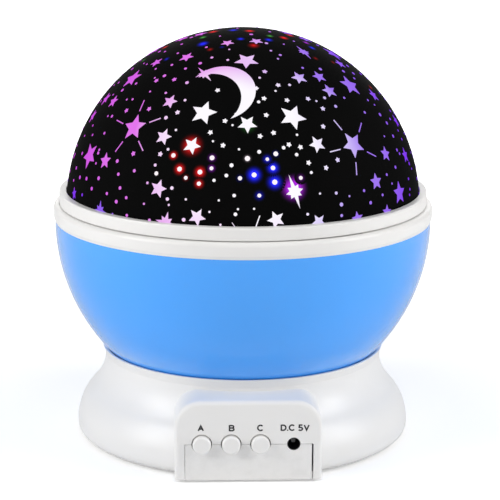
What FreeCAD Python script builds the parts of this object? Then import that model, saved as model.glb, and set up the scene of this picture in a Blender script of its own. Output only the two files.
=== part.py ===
"""Star night light: a round lamp whose starry dome turns slowly on a white base."""
import FreeCAD, Part
import math
import os
import re
import Sketcher

os.makedirs("parts", exist_ok=True)
document = FreeCAD.newDocument("star_night_light")

# Driving sizes, in millimetres, degrees and counts
SIZES = {
    "feet_proud": (0.8, "how far the rubber feet stand out of the base"),
    "foot_radius": (4.0, "rubber foot"),
    "foot_edge": (0.5, "bevel of a rubber foot"),
    "foot_inset": (9.3, "middle of a foot inside the edge of the base"),
    "foot_thick": (1.6, "rubber foot, recess included"),
    "flare_run": (9.175, "how far the base flares out below the neck"),
    "base_wall": (2.2, "wall of the flared base"),
    "base_edge": (2.6, "rounding of the bottom edge of the base"),
    "flare_bottom": (4.0, "height where the flare begins"),
    "neck_straight": (2.7, "rim to the top of the flare"),
    "neck_wall": (2.6, "wall of the neck"),
    "neck_rim": (0.7, "thickness of the neck's rim"),
    "neck_depth": (7.4, "rim of the neck down to the deck"),
    "bevel_height": (2.8, "bevel inside the rim that follows the bowl"),
    "deck_thick": (2.0, "deck under the bowl"),
    "deck_room": (4.8, "top of the battery bay up to the underside of the deck"),
    "recess_room": (0.125, "recess round the bowl's foot, outside the motor"),
    "bowl_gap": (0.36, "gap between the bowl and the neck"),
    "bowl_radius": (59.6, "outside of the blue bowl"),
    "bowl_wall": (2.0, "wall of the blue bowl"),
    "gear_room": (4.4, "deck up to the bowl's floor"),
    "play": (0.3, "free gap between pieces that move"),
    "seat_gap": (0.2, "gap in a seat or channel"),
    "turning_gap": (0.08, "radial gap of the bowl's bearing"),
    "snug": (0.05, "radial gap of fixed pieces"),
    "spindle_radius": (8.0, "post on which the bowl turns"),
    "spindle_bore": (5.0, "hole up the middle of the post"),
    "spindle_height": (18.2, "deck to the top of the post"),
    "shoulder_step": (0.42, "collar under the thrust washer, outside the hub"),
    "washer_thick": (0.9, "thrust washer"),
    "washer_gap": (0.1, "thrust washer below the hub"),
    "hub_wall": (3.0, "wall of the bowl's hub"),
    "hub_height": (10.0, "hub, from the underside of the floor"),
    "clip_thick": (0.9, "retaining ring"),
    "clip_depth": (0.8, "groove for the retaining ring"),
    "clip_proud": (2.0, "retaining ring outside the post"),
    "panel_proud": (0.7, "face of the control panel outside the edge of the base"),
    "panel_drop": (3.6, "top of the control panel below the neck's rim"),
    "panel_root": (5.0, "how far the panel's block reaches in under the deck"),
    "panel_web": (1.5, "wall between the neck and the hollow of the panel"),
    "panel_corner": (8.0, "corner radius of the control panel"),
    "panel_edge": (1.4, "rounding round the face of the panel"),
    "panel_wall": (2.0, "wall of the control panel"),
    "split_height": (12.1, "seam across the panel, through the buttons"),
    "tab_inset": (3.15, "side of the panel to its lower half, on the bottom cover"),
    "tab_root": (12.0, "foot of the lower half, under the base"),
    "seam_gap": (0.25, "seam round the bottom cover"),
    "seam_left": (0.12, "seam above the panel's lower half, and to its left"),
    "seam_right": (0.5, "seam to the right of the panel's lower half"),
    "button_radius": (2.8, "button cap"),
    "button_pitch": (8.8, "button to button"),
    "button_inset": (8.2, "side of the panel to the first button"),
    "button_proud": (1.8, "how far a button stands out"),
    "button_length": (5.2, "button cap"),
    "button_travel": (1.5, "how far a button is pushed"),
    "button_edge": (0.7, "rounding of a button's face"),
    "button_socket": (3.0, "how far a plunger reaches into its button"),
    "plunger_width": (2.8, "square plunger of a push switch"),
    "switch_size": (7.0, "square housing of a push switch"),
    "switch_depth": (7.0, "push switch, front to board"),
    "switch_floor": (0.8, "back wall of a push switch"),
    "switch_gap": (0.1, "pushed button to its switch"),
    "jack_gap": (10.0, "last button to the power jack"),
    "jack_inset": (8.6, "side of the panel to the power jack"),
    "jack_radius": (2.0, "mouth of the power jack"),
    "jack_width": (8.0, "power jack"),
    "jack_height": (9.0, "power jack"),
    "jack_lip": (0.1, "mouth of the jack inside the hole in the panel"),
    "jack_floor": (1.0, "back wall of the power jack"),
    "jack_pin": (0.65, "centre pin of the power jack"),
    "pin_inset": (1.2, "centre pin behind the mouth of the jack"),
    "board_thick": (1.6, "control board"),
    "board_side": (2.2, "gap beside the control board"),
    "board_lift": (1.8, "control board above the bottom cover"),
    "rail_inset": (6.0, "edge of the control board to a rail"),
    "rail_width": (5.0, "rail that holds the control board"),
    "rail_lip": (1.5, "rail before and behind the control board"),
    "plate_thick": (2.0, "bottom cover"),
    "door_tail": (8.0, "battery door behind the bay"),
    "door_thick": (1.8, "battery door"),
    "door_bevel": (1.1, "slope of the door's front edge, which lets it swing"),
    "door_sink": (1.0, "how deep the door's screw head sits"),
    "door_screw_inset": (4.0, "back edge of the battery door to its screw"),
    "door_screw_reach": (4.0, "door's screw above the bottom cover"),
    "door_boss_drop": (4.0, "boss of the door's screw below the bay's roof"),
    "hook_width": (6.0, "hook on the battery door"),
    "hook_thick": (1.2, "hook on the battery door"),
    "hook_web": (1.4, "stem of a hook"),
    "hook_reach": (1.8, "hook over the edge of the opening"),
    "hook_room": (2.9, "height of the slot over a hook"),
    "grip_place": (12.0, "back edge of the battery door to its first grip groove"),
    "grip_pitch": (2.4, "grip groove to grip groove"),
    "grip_width": (1.1, "grip groove"),
    "grip_depth": (0.5, "grip groove"),
    "grip_length": (14.0, "grip groove"),
    "grip_count": (4, "grip grooves"),
    "cell_radius": (5.25, "AAA cell"),
    "cell_length": (43.3, "AAA cell without its button"),
    "cell_edge": (0.5, "bevel of a cell's ends"),
    "cell_nub": (1.1, "button of a cell"),
    "nub_radius": (1.8, "button of a cell"),
    "bay_wall": (1.2, "wall of the battery bay"),
    "bay_end": (4.35, "room at each end of a cell"),
    "contact_thick": (0.4, "battery contact strip"),
    "contact_width": (7.0, "battery contact strip"),
    "contact_drop": (3.4, "contact strip below the middle of a cell"),
    "contact_rise": (4.0, "contact strip above the middle of a cell"),
    "screw_radius": (1.25, "case screw"),
    "screw_head": (2.4, "head of a case screw"),
    "screw_head_thick": (1.6, "head of a case screw"),
    "screw_inset": (2.625, "case screw inside the neck"),
    "screw_angle": (27.0, "angle of a case screw from the side, in degrees"),
    "boss_radius": (3.4, "screw boss"),
    "boss_lift": (4.2, "lower end of a screw boss above the bottom cover"),
    "boss_cap": (2.0, "solid top of a screw boss"),
    "tip_gap": (2.0, "free bore before the tip of a case screw"),
    "cup_wall": (1.8, "wall of a screw cup"),
    "cup_floor": (1.2, "floor of a screw cup"),
    "small_screw": (1.0, "small screw"),
    "small_head": (1.9, "head of a small screw"),
    "small_head_thick": (1.2, "head of a small screw"),
    "ring_teeth": (54, "teeth of the ring gear"),
    "pinion_teeth": (12, "teeth of the pinion"),
    "gear_thick": (3.4, "ring gear"),
    "gear_land": (1.6, "gear between its hole and a screw's head"),
    "gear_rim": (1.05, "gear between a screw's head and the teeth"),
    "gear_sink": (1.8, "sunk seat of a gear screw's head"),
    "gear_boss": (2.6, "boss of a gear screw on the bowl's floor"),
    "gear_boss_roof": (0.6, "solid top of a gear screw's boss"),
    "gear_boss_wall": (0.8, "boss of a gear screw outside the screw's head"),
    "pressure_angle": (20.0, "pressure angle of the teeth, in degrees"),
    "tooth_root": (1.25, "depth of a tooth below the pitch circle, in modules"),
    "tooth_shift": (0.3, "profile shift of the pinion's teeth"),
    "tooth_gap": (0.12, "how much thinner each tooth is than full"),
    "motor_radius": (8.4, "gear motor"),
    "motor_lift": (3.4, "gear motor above the bottom cover"),
    "motor_gap": (1.75, "gear motor beside the battery bay"),
    "motor_shaft_radius": (1.5, "motor shaft"),
    "shaft_depth": (6.0, "hole for the motor's shaft"),
    "motor_ear": (11.4, "motor axis to its screws"),
    "ear_margin": (0.6, "ear of the motor round a screw's head"),
    "ear_thick": (1.2, "ear of the motor"),
    "ring_step": (0.4, "how far the wide band stands out of the bowl"),
    "ring_drop": (0.8, "bottom edge of the wide band above the bowl's centre"),
    "ring_draft": (0.4, "how far the foot of the wide band draws in"),
    "ring_draft_height": (1.0, "sloping foot of the wide band"),
    "ring_shoulder": (1.4, "rounding of the wide band's shoulder"),
    "spigot_height": (1.6, "bowl's rim inside the wide band"),
    "ledge_width": (1.4, "ledge inside the bowl's rim"),
    "ledge_height": (2.4, "ledge inside the bowl's rim"),
    "ledge_slope": (1.6, "sloping underside of the ledge"),
    "shelf_thick": (0.9, "floor of the bayonet channel"),
    "shelf_inset": (1.0, "floor of the bayonet channel inside the collar"),
    "tab_thick": (1.0, "bayonet tab"),
    "lip_thick": (0.9, "lip over the bayonet channel"),
    "tab_reach": (1.2, "bayonet tab, radially"),
    "tab_angle": (18.0, "bayonet tab, in degrees"),
    "tab_place": (30.0, "middle of the first bayonet tab, in degrees"),
    "slot_margin": (2.0, "bayonet slot beside its tab, in degrees"),
    "stop_angle": (2.0, "stop in the bayonet channel, in degrees"),
    "twist": (25.0, "turn that frees the cover, in degrees"),
    "dome_inset": (4.0, "dome inside the outside of the wide band"),
    "dome_wall": (1.6, "wall of the dome"),
    "dome_step": (0.6, "step at the dome's edge"),
    "dome_edge": (2.2, "height of the stepped edge of the dome"),
    "dome_sink": (1.3, "centre of the dome below the top of the wide band"),
    "skirt_thick": (1.1, "collar inside the wide band"),
    "collar_lip": (0.5, "collar under the edge of the dome"),
    "band_height": (3.9, "narrow band"),
    "band_reach": (2.2, "narrow band, outside the dome"),
    "band_edge": (0.5, "rounding of the narrow band"),
    "light_deck_thick": (1.2, "white reflector under the dome"),
    "light_deck_drop": (4.6, "how deep the reflector is dished"),
    "light_deck_gap": (1.0, "reflector outside the lamp board"),
    "light_deck_flat": (5.0, "flat bottom of the reflector"),
    "light_deck_edge": (1.5, "sloping side of the reflector inside the ledge"),
    "led_board_radius": (18.0, "round lamp board"),
    "led_board_thick": (1.2, "round lamp board"),
    "led_board_drop": (3.3, "lamp board below the bowl's centre"),
    "led_radius": (2.5, "lamp"),
    "led_height": (8.6, "lamp"),
    "led_flange": (0.4, "foot of a lamp outside its body"),
    "led_flange_thick": (1.0, "foot of a lamp"),
    "board_screw_inset": (4.5, "edge of the lamp board to a screw"),
    "led_ring": (9.0, "circle of the coloured lamps"),
    "post_radius": (7.0, "post that carries the lamp board"),
    "post_plate_inset": (1.5, "plate of the post inside the lamp board's edge"),
    "post_flare": (5.0, "cone under the plate of the post"),
    "post_funnel": (4.0, "funnel for the wires in the plate of the post"),
    "post_screw_depth": (2.0, "screw holes below the plate of the post"),
    "post_plate_thick": (2.4, "plate at the top of the post"),
    "post_bore": (3.0, "hole for the lamp wires"),
    "post_spigot": (8.0, "foot of the lamp post inside the spindle"),
    "wire_radius": (1.2, "bundle of lamp wires"),
    "wire_bend": (6.0, "bend of the lamp wires under the spindle"),
    "wire_gap": (1.0, "lamp wires below the deck"),
    "lead_radius": (0.6, "lead of the motor or the batteries"),
    "lead_bend": (1.4, "bend of a lead"),
    "lead_drop": (1.8, "leads below the motor"),
    "lead_inset": (4.0, "middle of the motor to its first lead"),
    "lead_turn": (8.0, "leads' turn behind the battery bay's front wall"),
    "lead_landing": (8.0, "middle of the control board to the motor's leads"),
    "overcut": (1.0, "how far a cut runs on past the material"),
}

# Sizes and heights worked out from the driving sizes
DERIVED = {
    "plate_top": "feet_proud + plate_thick",
    "deck_under": "bay_top + bay_wall + deck_room",
    "deck_top": "deck_under + deck_thick",
    "neck_top": "deck_top + neck_depth",
    "flare_top": "neck_top - neck_straight",
    "recess_radius": "gear_distance + motor_radius + recess_room",
    "bowl_depth": "sqrt(bowl_radius^2 - (recess_radius - bowl_gap)^2) - bevel_height",
    "bowl_centre": "neck_top + bowl_depth",
    "bowl_bottom": "deck_top + gear_room",
    "bevel_bottom": "neck_top - bevel_height",
    "rim_inside": "sqrt(bowl_radius^2 - bowl_depth^2) + bowl_gap",
    "neck_radius": "recess_radius + neck_wall",
    "base_radius": "neck_radius + flare_run",
    "flare_rise": "flare_top - flare_bottom",
    "flare_radius": "(flare_run^2 + flare_rise^2) / (4 * flare_run)",
    "flare_slope": "2 * atan(flare_run / flare_rise)",
    "flare_middle": "(base_radius + neck_radius) / 2",
    "flare_height": "(flare_top + flare_bottom) / 2",
    "spindle_top": "deck_top + spindle_height",
    "shoulder_top": "bowl_bottom - washer_gap - washer_thick",
    "shoulder_radius": "hub_radius + shoulder_step",
    "hub_bore": "spindle_radius + turning_gap",
    "hub_radius": "hub_bore + hub_wall",
    "hub_top": "bowl_bottom + hub_height",
    "clip_bottom": "hub_top + seat_gap",
    "bowl_inside": "bowl_radius - bowl_wall",
    "floor_top": "bowl_bottom + bowl_wall",
    "ring_radius": "bowl_radius + ring_step",
    "ring_bottom": "bowl_centre + ring_drop",
    "spigot_top": "ring_bottom + spigot_height",
    "shelf_bottom": "spigot_top + seat_gap",
    "shelf_top": "shelf_bottom + shelf_thick",
    "bayonet_bottom": "shelf_top + seat_gap",
    "bayonet_top": "bayonet_bottom + tab_thick",
    "lip_bottom": "bayonet_top + seat_gap",
    "ring_top": "lip_bottom + lip_thick",
    "dome_radius": "ring_radius - dome_inset",
    "dome_inside": "dome_radius - dome_wall",
    "dome_centre": "ring_top - dome_sink",
    "dome_bottom": "bayonet_top",
    "dome_rim": "dome_radius - dome_step",
    "dome_step_top": "dome_bottom + dome_edge",
    "skirt_inside": "dome_rim + play",
    "skirt_outside": "skirt_inside + skirt_thick",
    "bayonet_reach": "skirt_outside + tab_reach",
    "channel_radius": "bayonet_reach + play",
    "lip_inside": "skirt_outside + play",
    "band_bottom": "ring_top + play",
    "band_top": "band_bottom + band_height",
    "band_radius": "dome_radius + band_reach",
    "band_throat": "sqrt(dome_radius^2 - (band_top - dome_centre)^2) + play",
    "spigot_radius": "channel_radius + snug",
    "ledge_top": "spigot_top - lip_thick",
    "ledge_radius": "bowl_inside - ledge_width",
    "gear_distance": "bay_side + bay_wall + motor_gap + motor_radius",
    "module": "2 * gear_distance / (ring_teeth + pinion_teeth)",
    "gear_root": "module * (ring_teeth / 2 - tooth_root - tooth_shift)",
    "gear_screw_ring": "gear_root - small_head - gear_rim",
    "gear_bore": "gear_screw_ring - small_head - gear_land",
    "gear_boss_top": "floor_top + gear_boss",
    "gear_bottom": "bowl_bottom - gear_thick",
    "led_board_top": "bowl_centre - led_board_drop + led_board_thick",
    "led_board_bottom": "bowl_centre - led_board_drop",
    "post_plate_bottom": "led_board_bottom - post_plate_thick",
    "light_deck_hole": "led_board_radius + light_deck_gap",
    "post_plate": "led_board_radius - post_plate_inset",
    "board_screw": "led_board_radius - board_screw_inset",
    "panel_width": "button_inset + 2 * button_pitch + jack_gap + jack_inset",
    "panel_front": "base_radius + panel_proud",
    "panel_back": "recess_radius - panel_root",
    "panel_top": "neck_top - panel_drop",
    "tab_width": "panel_width - 2 * tab_inset",
    "button_middle": "button_inset + button_pitch - panel_width / 2",
    "jack_across": "panel_width / 2 - jack_inset",
    "hole_radius": "button_radius + play",
    "button_back": "panel_front + button_proud - button_length",
    "board_front": "button_back - button_travel - switch_gap - switch_depth",
    "board_width": "panel_width - 2 * panel_wall - 2 * board_side",
    "board_bottom": "plate_top + board_lift",
    "board_top": "deck_under - seat_gap",
    "rail_top": "split_height - jack_height / 2 - play",
    "rail_place": "board_width / 2 - rail_inset",
    "switch_front": "board_front + switch_depth",
    "cell_pitch": "2 * cell_radius + play",
    "lead_height": "cell_axis + contact_rise - lead_radius - play",
    "lead_pitch": "2 * lead_radius + play",
    "bay_half": "cell_length / 2 + bay_end",
    "door_width": "4 * cell_pitch",
    "door_front": "-bay_half",
    "door_back": "bay_half + door_tail",
    "door_top": "feet_proud + door_thick",
    "door_screw_place": "door_back - door_screw_inset",
    "door_boss_top": "bay_top - door_boss_drop",
    "door_side": "door_width / 2 + play",
    "bay_side": "2 * cell_pitch + snug",
    "bay_top": "cell_axis + cell_radius + play",
    "cell_axis": "plate_top + seat_gap + cell_radius",
    "plate_radius": "base_radius - base_wall - seam_gap",
    "motor_top": "deck_under",
    "motor_bottom": "plate_top + motor_lift",
    "screw_ring": "neck_radius - screw_inset",
    "screw_x": "screw_ring * cos(screw_angle)",
    "screw_y": "screw_ring * sin(screw_angle)",
    "boss_bottom": "plate_top + boss_lift",
    "cup_top": "boss_bottom - seat_gap",
    "cup_seat": "cup_top - cup_floor",
    "foot_ring": "base_radius - foot_inset",
    "foot_place": "foot_ring * cos(45)",
}

sheet = document.addObject("Spreadsheet::Sheet", "sizes")
for row, (alias, (number, meaning)) in enumerate(SIZES.items(), start=1):
    sheet.set(f"A{row}", alias)
    sheet.set(f"B{row}", str(number))
    sheet.setAlias(f"B{row}", alias)
    sheet.set(f"C{row}", meaning)
document.recompute()

WORD = re.compile(r"[a-z_]+[a-z]\b(?!\()")

# Length under which two places count as one
CLOSE = 1e-4
# Bayonet tabs round the collar
TABS = 3


def bind(text):
    """Write an expression over named sizes as one that a property can follow."""
    def link(match):
        word = match.group(0)
        if word in DERIVED:
            return "(" + bind(DERIVED[word]) + ")"
        if word in SIZES:
            return "sizes." + word
        return word
    return WORD.sub(link, text)


def value(text):
    """Give the number that an expression over named sizes comes to."""
    return float(sheet.evalExpression(bind(str(text))))


def new_body(name):
    """Start a piece, whose name is also its file's name."""
    body = document.addObject("PartDesign::Body", name)
    body.Label = name
    return body


def sketch_on(body, role, offset="0"):
    """Start a sketch on one of a piece's own planes, moved along its normal."""
    sketch = body.newObject("Sketcher::SketchObject", body.Name + "_sketch")
    planes = [plane for plane in body.Origin.OriginFeatures if plane.Role == role]
    sketch.AttachmentSupport = (planes[0], [""])
    sketch.MapMode = "FlatFace"
    sketch.setExpression("AttachmentOffset.Base.z", bind(offset))
    return sketch


def hold(sketch, item, point, x, y):
    """Tie a point of a sketch to its place by expressions."""
    for kind, axis, text in (("DistanceX", -2, x), ("DistanceY", -1, y)):
        place = value(text)
        if abs(place) < 1e-7:
            sketch.addConstraint(Sketcher.Constraint("PointOnObject", item, point, axis))
            continue
        index = sketch.addConstraint(Sketcher.Constraint(kind, -1, 1, item, point, place))
        sketch.setExpression(f"Constraints[{index}]", bind(text))


def outline(sketch, corners):
    """Draw a closed outline.

    A corner is (x, y), or (x, y, radius, side) where an arc runs to the next
    corner with its centre on that side, left or right, of the way along.
    """
    count = len(corners)
    places = [(value(corner[0]), value(corner[1])) for corner in corners]
    ends = []
    for number, corner in enumerate(corners):
        start = FreeCAD.Vector(*places[number], 0)
        end = FreeCAD.Vector(*places[(number + 1) % count], 0)
        if len(corner) == 2:
            item = sketch.addGeometry(Part.LineSegment(start, end), False)
            ends.append((item, 1, 2))
            continue
        radius = value(corner[2])
        along = end - start
        normal = FreeCAD.Vector(-along.y, along.x, 0).normalize()
        if corner[3] == "right":
            normal = normal * -1
        rise = math.sqrt(max(radius ** 2 - along.Length ** 2 / 4, 0))
        centre = start + along * 0.5 + normal * rise
        first, last = (start, end) if corner[3] == "left" else (end, start)
        angles = [math.atan2(spot.y - centre.y, spot.x - centre.x) for spot in (first, last)]
        if angles[1] < angles[0]:
            angles[1] += 2 * math.pi
        circle = Part.Circle(centre, FreeCAD.Vector(0, 0, 1), radius)
        item = sketch.addGeometry(Part.ArcOfCircle(circle, *angles), False)
        ends.append((item, 1, 2) if corner[3] == "left" else (item, 2, 1))
    for number in range(count):
        item, _, finish = ends[number]
        following, begin, _ = ends[(number + 1) % count]
        sketch.addConstraint(Sketcher.Constraint("Coincident", item, finish, following, begin))
    for number, corner in enumerate(corners):
        item, begin, _ = ends[number]
        hold(sketch, item, begin, corner[0], corner[1])
        if len(corner) == 4:
            radius = value(corner[2])
            index = sketch.addConstraint(Sketcher.Constraint("Radius", item, radius))
            sketch.setExpression(f"Constraints[{index}]", bind(corner[2]))


def box_outline(sketch, left, right, low, high):
    """Draw a rectangle between four named places."""
    outline(sketch, [(left, low), (right, low), (right, high), (left, high)])


def circle_outline(sketch, x, y, radius):
    """Draw a circle at a named place."""
    place = FreeCAD.Vector(value(x), value(y), 0)
    circle = Part.Circle(place, FreeCAD.Vector(0, 0, 1), value(radius))
    item = sketch.addGeometry(circle, False)
    hold(sketch, item, 3, x, y)
    index = sketch.addConstraint(Sketcher.Constraint("Radius", item, value(radius)))
    sketch.setExpression(f"Constraints[{index}]", bind(radius))


def sector_outline(sketch, inside, outside, middle, width):
    """Draw a piece of a ring about the origin, from its middle angle and width."""
    low = f"({middle}) - ({width}) / 2"
    high = f"({middle}) + ({width}) / 2"
    outline(sketch, [
        (f"({inside}) * cos({low})", f"({inside}) * sin({low})"),
        (f"({outside}) * cos({low})", f"({outside}) * sin({low})", outside, "left"),
        (f"({outside}) * cos({high})", f"({outside}) * sin({high})"),
        (f"({inside}) * cos({high})", f"({inside}) * sin({high})", inside, "right"),
    ])


def feature(body, kind, sketch, amount="360", reverse=False):
    """Add a Pad, Pocket, Revolution or Groove made from a sketch."""
    made = body.newObject("PartDesign::" + kind, body.Name + "_" + kind.lower())
    made.Profile = sketch
    sketch.Visibility = False
    if kind in ("Revolution", "Groove"):
        made.ReferenceAxis = (sketch, ["V_Axis"])
        made.setExpression("Angle", amount)
    else:
        made.setExpression("Length", bind(amount))
        made.Reversed = reverse
    document.recompute()
    return made


def raised(body, bottom, top, draw):
    """Pad what draw puts on a level sketch, from one height up to another."""
    sketch = sketch_on(body, "XY_Plane", bottom)
    draw(sketch)
    return feature(body, "Pad", sketch, f"({top}) - ({bottom})")


def sunk(body, bottom, top, draw):
    """Cut what draw puts on a level sketch, from one height down to another."""
    sketch = sketch_on(body, "XY_Plane", top)
    draw(sketch)
    return feature(body, "Pocket", sketch, f"({top}) - ({bottom})")


def forward(body, kind, back, front, draw):
    """Pad or cut what draw puts on an upright sketch, between two depths to the front."""
    if kind == "Pad":
        sketch = sketch_on(body, "XZ_Plane", back)
    else:
        sketch = sketch_on(body, "XZ_Plane", front)
    draw(sketch)
    return feature(body, kind, sketch, f"({front}) - ({back})")


def turned(name, corners):
    """Make a piece by turning an outline about the upright axis."""
    body = new_body(name)
    sketch = sketch_on(body, "XZ_Plane")
    outline(sketch, corners)
    feature(body, "Revolution", sketch)
    return body


def grooved(body, corners):
    """Cut a turned outline out of a piece."""
    sketch = sketch_on(body, "XZ_Plane")
    outline(sketch, corners)
    return feature(body, "Groove", sketch)


def repeat(body, made, count, turn="360"):
    """Repeat a feature evenly about the upright axis."""
    pattern = body.newObject("PartDesign::PolarPattern", body.Name + "_pattern")
    pattern.Originals = [made]
    axes = [axis for axis in body.Origin.OriginFeatures if axis.Role == "Z_Axis"]
    pattern.Axis = (axes[0], [""])
    pattern.Angle = float(turn)
    pattern.Occurrences = count
    body.Tip = pattern
    document.recompute()
    return pattern


def rounded(body, made, radius, wanted):
    """Round the edges of the last feature that a test picks."""
    names = [f"Edge{number}" for number, edge in enumerate(made.Shape.Edges, start=1) if wanted(edge)]
    fillet = body.newObject("PartDesign::Fillet", body.Name + "_round")
    fillet.Base = (made, names)
    fillet.setExpression("Radius", bind(radius))
    document.recompute()
    return fillet


def solid_group(name, shapes):
    """Keep several like solids as one piece."""
    group = document.addObject("Part::Feature", name)
    group.Label = name
    group.Shape = Part.makeCompound(shapes)
    return group


def spun(corners):
    """Give the solid of a polygon of (radius, height) turned about the upright axis."""
    points = [FreeCAD.Vector(value(r), 0, value(height)) for r, height in corners]
    face = Part.Face(Part.makePolygon(points + points[:1]))
    return face.revolve(FreeCAD.Vector(0, 0, 0), FreeCAD.Vector(0, 0, 1), 360)


def moved(shape, x="0", y="0", height="0"):
    """Give a copy of a solid at a named place."""
    copy = shape.copy()
    copy.translate(FreeCAD.Vector(value(x), value(y), value(height)))
    return copy


def four_screws(sketch, radius):
    """Draw a circle at each of the four case screws."""
    for across in ("screw_x", "-screw_x"):
        for along in ("screw_y", "-screw_y"):
            circle_outline(sketch, across, along, radius)


def four_feet(sketch, radius):
    """Draw a circle at each of the four feet."""
    for across in ("foot_place", "-foot_place"):
        for along in ("foot_place", "-foot_place"):
            circle_outline(sketch, across, along, radius)


def board_screws(sketch):
    """Draw a hole at each screw of the lamp board."""
    for across in ("board_screw", "-board_screw"):
        circle_outline(sketch, across, "0", "small_screw + snug")


def gear_screws(sketch, radius):
    """Draw a circle at each screw of the ring gear."""
    for across, along in GEAR_SCREWS:
        circle_outline(sketch, across, along, radius)


BUTTONS = {
    "a": "button_middle - button_pitch",
    "b": "button_middle",
    "c": "button_middle + button_pitch",
}
GEAR_SCREWS = [(f"gear_screw_ring * cos({turn})", f"gear_screw_ring * sin({turn})")
               for turn in (30, 150, 270)]
CELLS = [f"{step} * cell_pitch" for step in (-1.5, -0.5, 0.5, 1.5)]


def panel_holes(sketch):
    """Draw the holes for the buttons and the power jack."""
    for across in BUTTONS.values():
        circle_outline(sketch, across, "split_height", "hole_radius")
    circle_outline(sketch, "jack_across", "split_height", "jack_radius")


def make_base_housing():
    """Flared white base with its deck, spindle and control panel, moulded in one."""
    wall = "base_wall"
    body = turned("base_housing", [
        ("0", "feet_proud"),
        ("base_radius - base_edge", "feet_proud", "base_edge", "left"),
        ("base_radius", "feet_proud + base_edge"),
        ("base_radius", "flare_bottom", "flare_radius", "left"),
        ("flare_middle", "flare_height", "flare_radius", "right"),
        ("neck_radius", "flare_top"),
        ("rim_inside + neck_rim", "neck_top"),
        ("spindle_radius", "neck_top"),
        ("spindle_radius", "spindle_top"),
        ("0", "spindle_top"),
    ])
    side = "panel_width / 2"
    low = "panel_top - panel_corner"
    pad = forward(body, "Pad", "panel_back", "panel_front", lambda sketch: outline(sketch, [
        (f"-{side}", "feet_proud"),
        (side, "feet_proud"),
        (side, low, "panel_corner", "left"),
        (f"{side} - panel_corner", "panel_top"),
        (f"panel_corner - {side}", "panel_top", "panel_corner", "left"),
        (f"-{side}", low),
    ]))
    front = -value("panel_front")
    bottom = value("feet_proud")
    rounded(body, pad, "panel_edge", lambda edge: edge.BoundBox.ZMax > bottom + CLOSE and all(
        abs(vertex.Y - front) < CLOSE for vertex in edge.Vertexes))
    grooved(body, [
        ("shoulder_radius", "deck_top"),
        ("recess_radius", "deck_top"),
        ("recess_radius", "bevel_bottom"),
        ("rim_inside", "neck_top"),
        ("rim_inside", "neck_top + overcut"),
        ("spindle_radius", "neck_top + overcut"),
        ("spindle_radius", "shoulder_top"),
        ("shoulder_radius", "shoulder_top"),
    ])
    under = "flare_radius + base_wall"
    reach = f"neck_radius + flare_radius - sqrt(({under})^2 - (flare_top - deck_under)^2)"
    grooved(body, [
        ("0", "feet_proud"),
        (f"base_radius - {wall}", "feet_proud"),
        (f"base_radius - {wall}", "flare_bottom", f"flare_radius - {wall}", "left"),
        (f"flare_middle - {wall} * cos(flare_slope)", f"flare_height - {wall} * sin(flare_slope)",
         under, "right"),
        (reach, "deck_under"),
        ("spindle_bore", "deck_under"),
        ("spindle_bore", "spindle_top"),
        ("0", "spindle_top"),
    ])
    grooved(body, [
        ("spindle_radius - clip_depth", "clip_bottom"),
        ("spindle_radius + overcut", "clip_bottom"),
        ("spindle_radius + overcut", "clip_bottom + clip_thick + snug"),
        ("spindle_radius - clip_depth", "clip_bottom + clip_thick + snug"),
    ])
    inner = "panel_width / 2 - panel_wall"
    face = "panel_front - panel_wall"
    forward(body, "Pocket", "panel_back", face, lambda sketch: box_outline(
        sketch, f"-({inner})", inner, "feet_proud", "deck_under"))
    forward(body, "Pocket", "neck_radius + panel_web", face, lambda sketch: box_outline(
        sketch, f"panel_corner - ({inner})", f"({inner}) - panel_corner",
        "deck_under", "panel_top - panel_wall"))
    half = "tab_width / 2"
    forward(body, "Pocket", face, "panel_front", lambda sketch: box_outline(
        sketch, f"-({half} + seam_left)", f"{half} + seam_right", "feet_proud", "split_height"))
    forward(body, "Pocket", face, "panel_front", panel_holes)
    raised(body, "boss_bottom", "deck_under", lambda sketch: four_screws(sketch, "boss_radius"))
    sunk(body, "boss_bottom", "deck_under - boss_cap", lambda sketch: four_screws(
        sketch, "screw_radius + snug"))

    def motor_holes(sketch):
        circle_outline(sketch, "gear_distance", "0", "motor_shaft_radius + play")
        for along in ("motor_ear", "-motor_ear"):
            circle_outline(sketch, "gear_distance", along, "small_screw + snug")
    sunk(body, "deck_under", "deck_top", motor_holes)


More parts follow.
